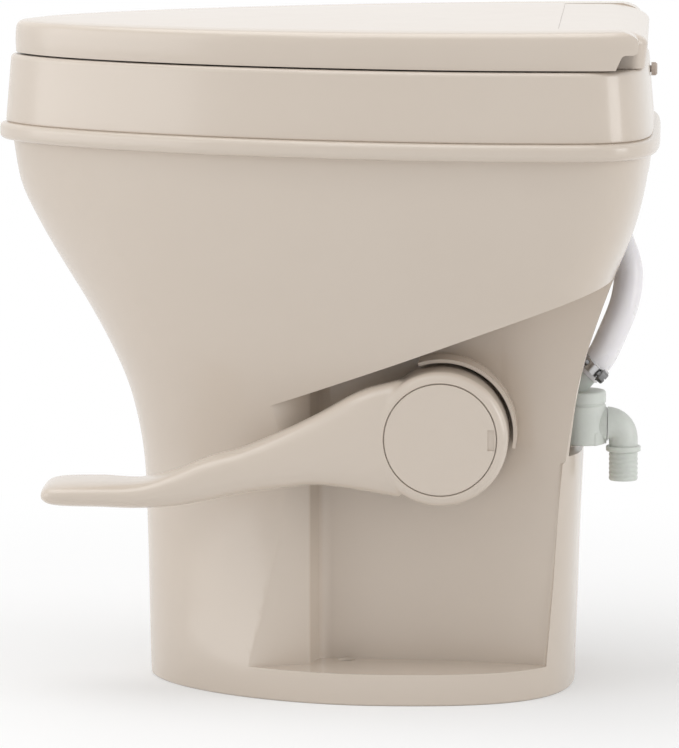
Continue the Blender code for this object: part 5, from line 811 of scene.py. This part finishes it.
# Lid
lidShell = {
    "bottom": 0.465, "inset": 0.030, "rise": 0.0245, "rear": 0.262, "tilt": 0.0080, "crown": 0.0006,
    "wall": 0.003,
    "rows": ((0.000, 0.412, 0.00), (0.430, 0.400, 0.40), (0.800, 0.430, 1.00), (0.930, 0.520, 1.00),
             (0.985, 0.660, 1.00), (1.000, 0.850, 1.00)),  # height, inset, tilt
    "sweep": 0.03632, "gate": 0.1385, "rearEnd": (0.2055, 0.484, 0.0238, 0.0100), "earSpace": 0.0057,
    "earSpaceEnds": (0.1375, 0.1478), "ears": (0.148, 0.156), "earRadius": 0.0085, "pinReach": 0.163,
    "passage": ((-0.0039, -0.0240), (0.0159, -0.0240), (0.0159, -0.0105), (0.0089, -0.0105),
                (-0.0039, -0.0159)),
    "notch": ((0.0044, -0.0240), (0.0106, -0.0103), (0.0219, -0.0103), (0.0219, -0.0020)),
    "notchRadii": (0.004, 0.004), "notchEnd": 0.030,
    "pad": (0.028, -0.180, 0.0070, 0.4863, 0.4879, 0.0006),  # place, radius, bottom, top, edge
    "padRoom": 0.0001,
}


def lidRings(wall):
    d = lidShell
    front = d["inset"] * d["rows"][0][1] - rim["halfLength"]
    rings = []
    for height, inset, tilt in smoothRows(d["rows"], 26):
        edge = min(inset, 1.0) * d["inset"] + wall
        wide, long = rim["halfWidth"] - edge, rim["halfLength"] - edge
        points = plan(wide, -long, d["rear"], rim["middle"], rim["frontPower"], rim["rearPower"])
        foot = d["bottom"] - (overrun if wall and height <= 0 else 0)
        z = foot + height * (d["rise"] - wall)
        rings.append([(x, y, z + min(tilt, 1.0) * d["tilt"] * (y - front)) for x, y in points])
    edge = rings[-1]
    for i in range(1, 12):
        share = 1 - i / 12
        z = d["bottom"] + d["rise"] - wall + d["crown"] * (1 - share * share)
        rings.append([(x * share, y * share, z + d["tilt"] * (y * share - front)) for x, y, _ in edge])
    rings.append([(0.0, 0.0, d["bottom"] + d["rise"] - wall + d["crown"] - d["tilt"] * front)])
    return rings


def behind(name, inward):
    y, z, reach, rise = lidShell["rearEnd"]
    turn = arc(0.0, 0.0, 1.0, pi / 2, 0.0, 32)
    points = [(y + a * (reach - inward), z + b * (rise - inward)) for a, b in turn]
    points += [(y + reach - inward, z - far), (y + far, z - far), (y + far, z + far), (y, z + far)]
    return pushed(name, points, -rim["halfLength"], rim["halfLength"], "X")


def makeLid():
    d = lidShell
    y, z = axis["hinge"]
    axle = place(y=y, z=z, axis="X")
    made = lofted("lidShell", lidRings(0.0))
    cut(made, rod("sweep", d["sweep"], -d["gate"], d["gate"], axle, 120), behind("rearRound", 0.0))
    low, high = d["notch"][0][1], d["notch"][-1][1]
    notch = rounded(d["notch"], d["notchRadii"]) + [(d["notchEnd"], high), (d["notchEnd"], low)]
    cut(made, pushed("notch", [(y + a, z + b) for a, b in notch], -rim["halfWidth"], rim["halfWidth"], "X"))
    space = lofted("space", lidRings(d["wall"]))
    cut(space, rod("rearWall", d["sweep"] + d["wall"], -d["gate"], d["gate"], axle, 120),
        behind("rearWallRound", d["wall"]))
    cut(made, space)
    passage = [(y + a, z + b) for a, b in d["passage"]]
    cut(made, pushed("earPassage", passage, -d["ears"][0], d["ears"][0], "X"))
    for side in (-1, 1):
        ends = sorted(side * end for end in d["earSpaceEnds"])
        cut(made, rod("earSpace", d["earSpace"], *ends, axle, 48))
        ends = sorted(side * end for end in d["ears"])
        radius = d["earRadius"]
        points = arc(y, z, radius, -pi, 0.0, 24)
        roof = d["bottom"] + d["rise"] + d["tilt"] * (y + rim["halfLength"]) - d["wall"] / 2
        points += [(y + radius, roof), (y - radius, roof)]
        fuse(made, pushed("ear", points, *ends, "X"))
    cut(made, rod("pinBore", axis["pinBore"], -d["pinReach"], d["pinReach"], axle, 32))
    padX, padY, radius, low, high, edge = d["pad"]
    curve = [(radius - u, low + v) for u, v in eased(edge, (pi / 2, 1.1, 0.6, 0.0))]
    for side, label in ((-1, "left"), (1, "right")):
        spot = place(side * padX, padY)
        cut(made, rod("padSeat", radius + d["padRoom"], low - overrun, high + d["padRoom"], spot, 48))
        pad = turned("lidPad", [(0, low)] + curve + [(radius, high), (0, high)], spot, 48)
        settle(pad, "lid", f"lid_bumper_{label}", 30)
    return settle(made, "lid", "lid", 30)


# Cover over the hinges
hingeCover = {
    "half": 0.138, "sweep": 0.0362, "rear": 0.2358, "baseRear": 0.234, "top": 0.4927, "base": 0.4641,
    "wall": 0.003, "ends": 0.012, "block": 0.014, "turn": (0.2045, 0.4815),
    "hollowLow": 0.4618, "boss": (0.008, 0.4905), "boltTop": 0.4843, "pinEnds": (0.1277, 0.187),
}


def makeHingeCover():
    d = hingeCover
    y, z = axis["hinge"]
    foot = math.asin((z - d["base"]) / d["sweep"])
    head = math.asin((d["top"] - z) / d["sweep"])
    turnY, turnZ = d["turn"]
    reach, rise = d["rear"] - turnY, d["top"] - turnZ
    curve = [(turnY + a * reach, turnZ + b * rise) for a, b in arc(0.0, 0.0, 1.0, pi / 2, 0.0, 36)]
    profile = arc(y, z, d["sweep"], pi + foot, pi - head, 30) + curve + [(d["baseRear"], d["base"])]
    stations = [(d["half"] - v, 1 - u / reach) for u,
                v in eased(d["ends"], [pi / 2 * i / 10 for i in range(11)])]
    rings = []
    for x, share in [(-x, share) for x, share in reversed(stations)] + stations:
        rings.append([(x, y + (b - y) * (share if b > y else 1), c) for b, c in profile])
    made = lofted("hingeCover", rings)
    inner = offsetChain(profile, -d["wall"])
    inner = [(inner[0][0], d["hollowLow"])] + inner + [(inner[-1][0], d["hollowLow"])]
    half = d["half"] - d["block"]
    cut(made, pushed("hollow", inner, -half, half, "X"))
    axle = place(y=y, z=z, axis="X")
    for side in (-1, 1):
        x, y, hole = basin["hingeHole"]
        spot = place(side * x, y)
        radius, top = d["boss"]
        fuse(made, rod("boltBoss", radius, d["base"], top, spot, 40))
        cut(made, rod("boltBore", hole, d["hollowLow"], d["boltTop"], spot, 24))
        ends = sorted(side * end for end in d["pinEnds"])
        cut(made, rod("pinBore", axis["pinBore"], *ends, axle, 32))
    return settle(made, "base", "hinge_housing", 30)


# Foot pedal: arm and hub in one, with a round cap in the hub's face
footPedal = {
    "outer": 0.147, "inner": 0.089, "radius": 0.049, "edge": 0.007, "reach": 0.2905,
    "low": 0.1428, "high": 0.2440, "width": 0.036, "padWidth": 0.075, "tipInset": 0.009, "power": 3.0,
    "rows": (  # along, top, bottom, widening, narrowing
        (0.100, 0.940, 0.090, 0.00, 0.00), (0.200, 0.857, 0.141, 0.00, 0.00),
        (0.306, 0.691, 0.178, 0.00, 0.00), (0.392, 0.568, 0.156, 0.00, 0.00),
        (0.497, 0.440, 0.115, 0.00, 0.00), (0.583, 0.368, 0.061, 0.03, 0.00),
        (0.670, 0.264, 0.016, 0.18, 0.00), (0.757, 0.193, -0.004, 0.59, 0.00),
        (0.861, 0.185, 0.000, 1.00, 0.00), (0.951, 0.178, 0.005, 1.00, 0.06),
        (0.986, 0.160, 0.022, 1.00, 0.36), (1.000, 0.130, 0.051, 1.00, 1.00),
    ),
    "capRadius": 0.0405, "capDepth": 0.003, "slot": (0.005, 0.015, 0.0012), "voxel": 0.0013,
    "hubSpace": ((0.013, 0.091), (0.013, 0.1385), (0.044, 0.1385), (0.044, 0.087), (0, 0.087), (0, 0.091)),
    "socket": (0.0083, 0.087, 0.1303), "headSpace": (0.0068, 0.0038), "screwHole": (0.0033, 0.130),
    "capRoom": 0.0005, "lipEdge": 0.0007, "past": 0.149, "slotDepth": 0.0012,
    "capSunk": 0.0002, "capLift": 0.0003, "capCrown": 0.0002,
}


def makePedal():
    d = footPedal
    y, z = axis["pedal"]
    axle = place(y=y, z=z, axis="X")
    edge = d["edge"]
    face = [(d["radius"] - u, d["outer"] - v) for u,
            v in eased(edge, (0, 0.25, 0.5, 0.8, 1.1, 1.35, pi / 2))]
    profile = [(0, d["inner"]), (d["radius"], d["inner"])] + face + [(0, d["outer"])]
    made = turned("footPedal", profile, axle, 120)
    rings = []
    rise = d["high"] - d["low"]
    for share, top, bottom, widening, narrowing in smoothRows(d["rows"], 70):
        tip = d["tipInset"] * max(narrowing, 0)
        outer = d["outer"] - tip
        inner = d["outer"] - mixed(d["width"], d["padWidth"], min(max(widening, 0), 1)) + tip
        ring = []
        for i in range(64):
            a = 2 * pi * (i + 0.5) / 64
            c, s = math.cos(a), math.sin(a)
            power = 2 / d["power"]
            x = (outer + inner) / 2 + (outer - inner) / 2 * math.copysign(abs(c) ** power, c)
            height = (top + bottom) / 2 + (top - bottom) / 2 * math.copysign(abs(s) ** power, s)
            ring.append((x, y - share * d["reach"], d["low"] + rise * height))
        rings.append(ring)
    fuse(made, lofted("arm", rings))
    remesh = made.modifiers.new("even", "REMESH")
    remesh.mode = "VOXEL"
    remesh.voxel_size = d["voxel"]
    soften = made.modifiers.new("soften", "SMOOTH")
    soften.factor = 0.5
    soften.iterations = 7
    bake(made)
    web = d["outer"] - d["capDepth"]
    cut(made, turned("hubSpace", d["hubSpace"], axle, 96))
    cut(made, rod("socket", *d["socket"], axle, 48))
    seat, bevel, past = d["capRadius"] + d["capRoom"], d["lipEdge"], d["past"]
    lip = [(0, web), (seat, web), (seat, d["outer"] - bevel),
           (seat + bevel, d["outer"] + d["capCrown"] / 2),
           (seat + bevel, past), (0, past)]
    cut(made, turned("capSeat", lip, axle, 120))
    head, sunk = d["headSpace"]
    cut(made, rod("headSpace", head, web - sunk, past, axle, 48),
        rod("screwHole", *d["screwHole"], web, axle, 32))
    settle(made, "pedal", "pedal_arm", 42)
    # cap with a rounded rim and a small slot to prise it out
    radius, top = d["capRadius"], d["outer"] - d["capSunk"]
    profile = [(0, web + d["capLift"]), (radius, web + d["capLift"]), (radius, top - bevel)]
    profile += [(radius - u, top - v) for u, v in eased(bevel, (0.5, 1.0, pi / 2))]
    profile += [(radius * 0.6, top + d["capCrown"] / 2), (0, top + d["capCrown"])]
    cap = turned("hubCap", profile, axle, 120)
    width, height, inset = d["slot"]
    middle = y + radius - inset - width / 2
    corners = [(middle - width / 2, z - height / 2), (middle + width / 2, z - height / 2),
               (middle + width / 2, z + height / 2), (middle - width / 2, z + height / 2)]
    cut(cap, pushed("slot", corners, top - d["slotDepth"], past, "X"))
    settle(cap, "pedal", "pedal_cap", 30)


# Rinse hose with its two worm-drive clamps
hoseLine = {
    "radius": 0.01075, "bore": 0.0074, "lean": (0.0, 0.69, 0.73), "topLean": (-0.342, -0.308, 0.889),
    "straight": 0.014,
    "route": ((0.0500, 0.2012, 0.2437), (0.0465, 0.2108, 0.2627), (0.0405, 0.2200, 0.2865),
              (0.0335, 0.2220, 0.3085), (0.0260, 0.2152, 0.3300), (0.0201, 0.2111, 0.3427)),
    "clampPlace": 0.0075,
}
hoseClamp = {
    "width": 0.008, "thickness": 0.0012, "room": 0.0003, "lip": 0.0005,
    "housing": (0.0050, 0.0006, 0.0035, 0.0052, 0.15),  # half width, foot, top, bend, angle of the opening
    "housingInset": 0.0004,
    "worm": (0.0032, 0.0025, 0.015), "nicks": 26, "nickGap": 0.55, "nick": (0.0008, 0.0011, 0.0046, 1),
    "screw": ((0, -0.0075), (0.0022, -0.0075), (0.0022, 0.0068), (0.0052, 0.0068), (0.0054, 0.0074),
              (0.0046, 0.0076), (0.0046, 0.0112), (0.0040, 0.0122), (0, 0.0122)),
    "driverSlot": (0.0011, 0.02, 0.0022, 1),
}


def hosePath(steps=12):
    d = hoseLine
    spots = [Vector(spot) for spot in d["route"]]
    low, top = Vector(d["lean"]).normalized(), Vector(d["topLean"]).normalized()
    knots = [spots[0] - low * (spots[1] - spots[0]).length, *spots,
             spots[-1] + top * (spots[-1] - spots[-2]).length]
    path = [spots[0] - low * d["straight"] * share for share in (1.0, 0.5)]
    for i in range(1, len(knots) - 2):
        a, b, c, e = knots[i - 1:i + 3]
        for k in range(steps):
            t = k / steps
            path.append((b * 2 + (c - a) * t + (a * 2 - b * 5 + c * 4 - e) * t ** 2
                         + (b * 3 - a - c * 3 + e) * t ** 3) / 2)
    return path + [spots[-1], spots[-1] + top * d["straight"] * 0.5, spots[-1] + top * d["straight"]]


def makeHose():
    d = hoseLine
    path = hosePath()
    outer = tubeRings(path, d["radius"], 48)
    inner = tubeRings(path, d["bore"], 48)
    made = lofted("rinseTube", outer + inner[::-1], closed=True)
    settle(made, "base", "rinse_hose", 50)
    for name, screw, end, back, facing in (
        ("lower_hose_clamp", "lower_clamp_screw", path[0], (path[1] - path[0]), (1, 0, 0)),
        ("upper_hose_clamp", "upper_clamp_screw", path[-1], (path[-2] - path[-1]), (1, 1, 0)),
    ):
        inward = back.normalized()
        lean = inward if end is path[0] else -inward
        makeClamp(name, screw, end + inward * d["clampPlace"], lean, Vector(facing))


def makeClamp(name, screwName, center, lean, facing):
    d = hoseClamp
    facing = (facing - lean * facing.dot(lean)).normalized()
    across = lean.cross(facing)
    where = Matrix.Translation(center) @ Matrix((across, facing, -lean)).transposed().to_4x4()
    inner = hoseLine["radius"] + d["room"]
    outer = inner + d["thickness"]
    half, lip = d["width"] / 2, d["lip"]
    profile = [(inner, -half), (outer, -half), (outer + lip, -half + lip), (outer, -half + 2 * lip)]
    profile += [(outer, half - 2 * lip), (outer + lip, half - lip), (outer, half), (inner, half)]
    band = turned(name + "Band", profile, where, 96)
    wide, foot, top, bend, opening = d["housing"]
    outline = [(-wide, inner + foot), (wide, inner + foot)]
    outline += arc(0.0, outer + top, bend, opening, pi - opening, 10)
    housing = pushed(name + "Housing", outline, -half + d["housingInset"], half - d["housingInset"])
    housing.data.transform(where)
    fuse(band, housing)
    rise, radius, reach = d["worm"]
    worm = where @ place(y=outer + rise, axis="X")
    cut(band, rod("wormBore", radius, -reach, reach, worm, 32))
    tools = []
    for i in range(d["nicks"]):
        a = 2 * pi * i / d["nicks"] - pi / 2
        if abs(a - pi / 2) >= d["nickGap"]:
            tools.append(block("nick",
                where @ Matrix.Rotation(a, 4, "Z") @ Matrix.Translation((outer, 0, 0)), d["nick"]))
    cut(band, *tools, solver="EXACT")
    settle(band, "base", name, 30)
    head = turned(screwName + "Piece", d["screw"], worm, 48)
    cut(head, block("driverSlot", worm @ Matrix.Translation((0, 0, d["screw"][-1][1])), d["driverSlot"]))
    settle(head, "base", screwName, 30).data.materials[0] = finishes["dark_steel"]


# Water valve
waterValve = {
    "x": 0.050, "y": 0.188, "radius": 0.0185, "bottom": 0.1815, "top": 0.221, "edge": 0.0022, "foot": 0.001,
    "groove": ((0.0, 0.0285), (0.0008, 0.0292), (0.0008, 0.0303), (0.0, 0.031)),  # depth and height
    "pipeZ": 0.196, "core": (0.0155, 0.1423), "inletBoss": (0.0125, 0.2070, 0.0007, 0.2077),
    "barbRoot": (0.0095, -0.019, -0.0003), "barb": (0.0070, -0.007, 0.0135),
    "ribTurn": 0.9, "ribInset": 0.0004, "ribHeight": 0.0045, "rib": (0.0014, 0.0022, 0.009, 1),
    "recess": (0.0133, 0.1400, 0.1444), "passage": 0.0045, "inletPassage": (0.0048, 0.0045, 0.2194),
    "barbPassage": (0.0042, -0.03, 0.0155),
}
inletElbow = {
    "turnY": 0.2083, "endY": 0.2194, "rootY": 0.2080, "lowZ": 0.178, "root": 0.0128, "tip": 0.0106,
    "taper": 1.25,
    "bore": 0.0070, "boreRoot": 0.206, "boreEnd": 0.1525, "ridges": 6, "ridgeTop": 0.1755,
    "ridgeStep": 0.00345,
    "collar": ((0, 0.1800), (0.0122, 0.1800), (0.0128, 0.1794), (0.0128, 0.1766), (0.0122, 0.1760)),
    "ridge": ((0.0103, 0.0), (0.0103, 0.0008), (0.0106, 0.0014), (0.0107, 0.0020), (0.0105, 0.0029)),
    "end": ((0.0100, 0.1545), (0, 0.1545)),
}


def makeValve():
    d = waterValve
    x, y = d["x"], d["y"]
    r, low, top, edge, foot = d["radius"], d["bottom"], d["top"], d["edge"], d["foot"]
    profile = [(0, low), (r - foot, low), (r, low + foot)]
    profile += [(r - depth, low + height) for depth, height in d["groove"]]
    profile += [(r - u, top - v) for u, v in eased(edge, (0, 0.3, 0.6, 0.9, 1.2, pi / 2))]
    body = turned("valveCasting", profile + [(0, top)], place(x, y), 72)
    stem = place(x=x, z=d["pipeZ"], axis="Y")
    radius, start = d["core"]
    fuse(body, rod("core", radius, start, y, stem, 56))
    radius, shoulder, step, end = d["inletBoss"]
    boss = [(0, y), (radius, y), (radius, shoulder), (radius - step, end), (0, end)]
    fuse(body, turned("inletBoss", boss, stem, 56))
    path = hosePath()
    lean = (path[1] - path[0]).normalized()
    barb = Matrix.Translation(path[0]) @ lean.to_track_quat("Z", "Y").to_matrix().to_4x4()
    fuse(body, rod("barbRoot", *d["barbRoot"], barb, 48), rod("barb", *d["barb"], barb, 48))
    for i in range(3):
        turn = Matrix.Rotation(pi * 0.5 + (i - 1) * d["ribTurn"], 4, "Z")
        spot = place(x, y) @ turn @ Matrix.Translation((r - d["ribInset"], 0, low + d["ribHeight"]))
        fuse(body, block("rib", spot, d["rib"]))
    recess = rod("recess", *d["recess"], stem, 48)
    passage = rod("passage", d["passage"], start, y, stem, 32)
    radius, before, end = d["inletPassage"]
    fuse(passage, rod("inletPassage", radius, y - before, end, stem, 32),
         rod("barbPassage", *d["barbPassage"], barb, 32))
    cut(body, recess, passage)
    settle(body, "base", "valve_body", 32)
    e = inletElbow
    bend = e["endY"] - e["turnY"]
    curve = [(x, b, c) for b, c in arc(e["turnY"], d["pipeZ"] - bend, bend, pi / 2, 0.0, 18)]
    path = [(x, e["rootY"], d["pipeZ"]), *curve, (x, e["endY"], e["lowZ"])]
    elbow = lofted("inletElbow",
        tubeRings(path, lambda share: mixed(e["root"], e["tip"], min(share * e["taper"], 1.0)), 56))
    profile = list(e["collar"])
    for i in range(e["ridges"]):
        profile += [(out, e["ridgeTop"] - e["ridgeStep"] * i - drop) for out, drop in e["ridge"]]
    fuse(elbow, turned("spigot", profile + list(e["end"]), place(x, e["endY"]), 56))
    inside = [(x, e["boreRoot"], d["pipeZ"]), *curve, (x, e["endY"], e["boreEnd"])]
    cut(elbow, lofted("elbowPassage", tubeRings(inside, e["bore"], 32)))
    settle(elbow, "base", "inlet_elbow", 36, "pale_nylon")


makeCasing()
print("casing made")
makeBowl()
print("bowl and rim made")
makeSeat()
makeLid()
makeHingeCover()
print("seat, lid and hinge cover made")
makePedal()
print("pedal made")
makeHose()
makeValve()
print("hose and valve made")
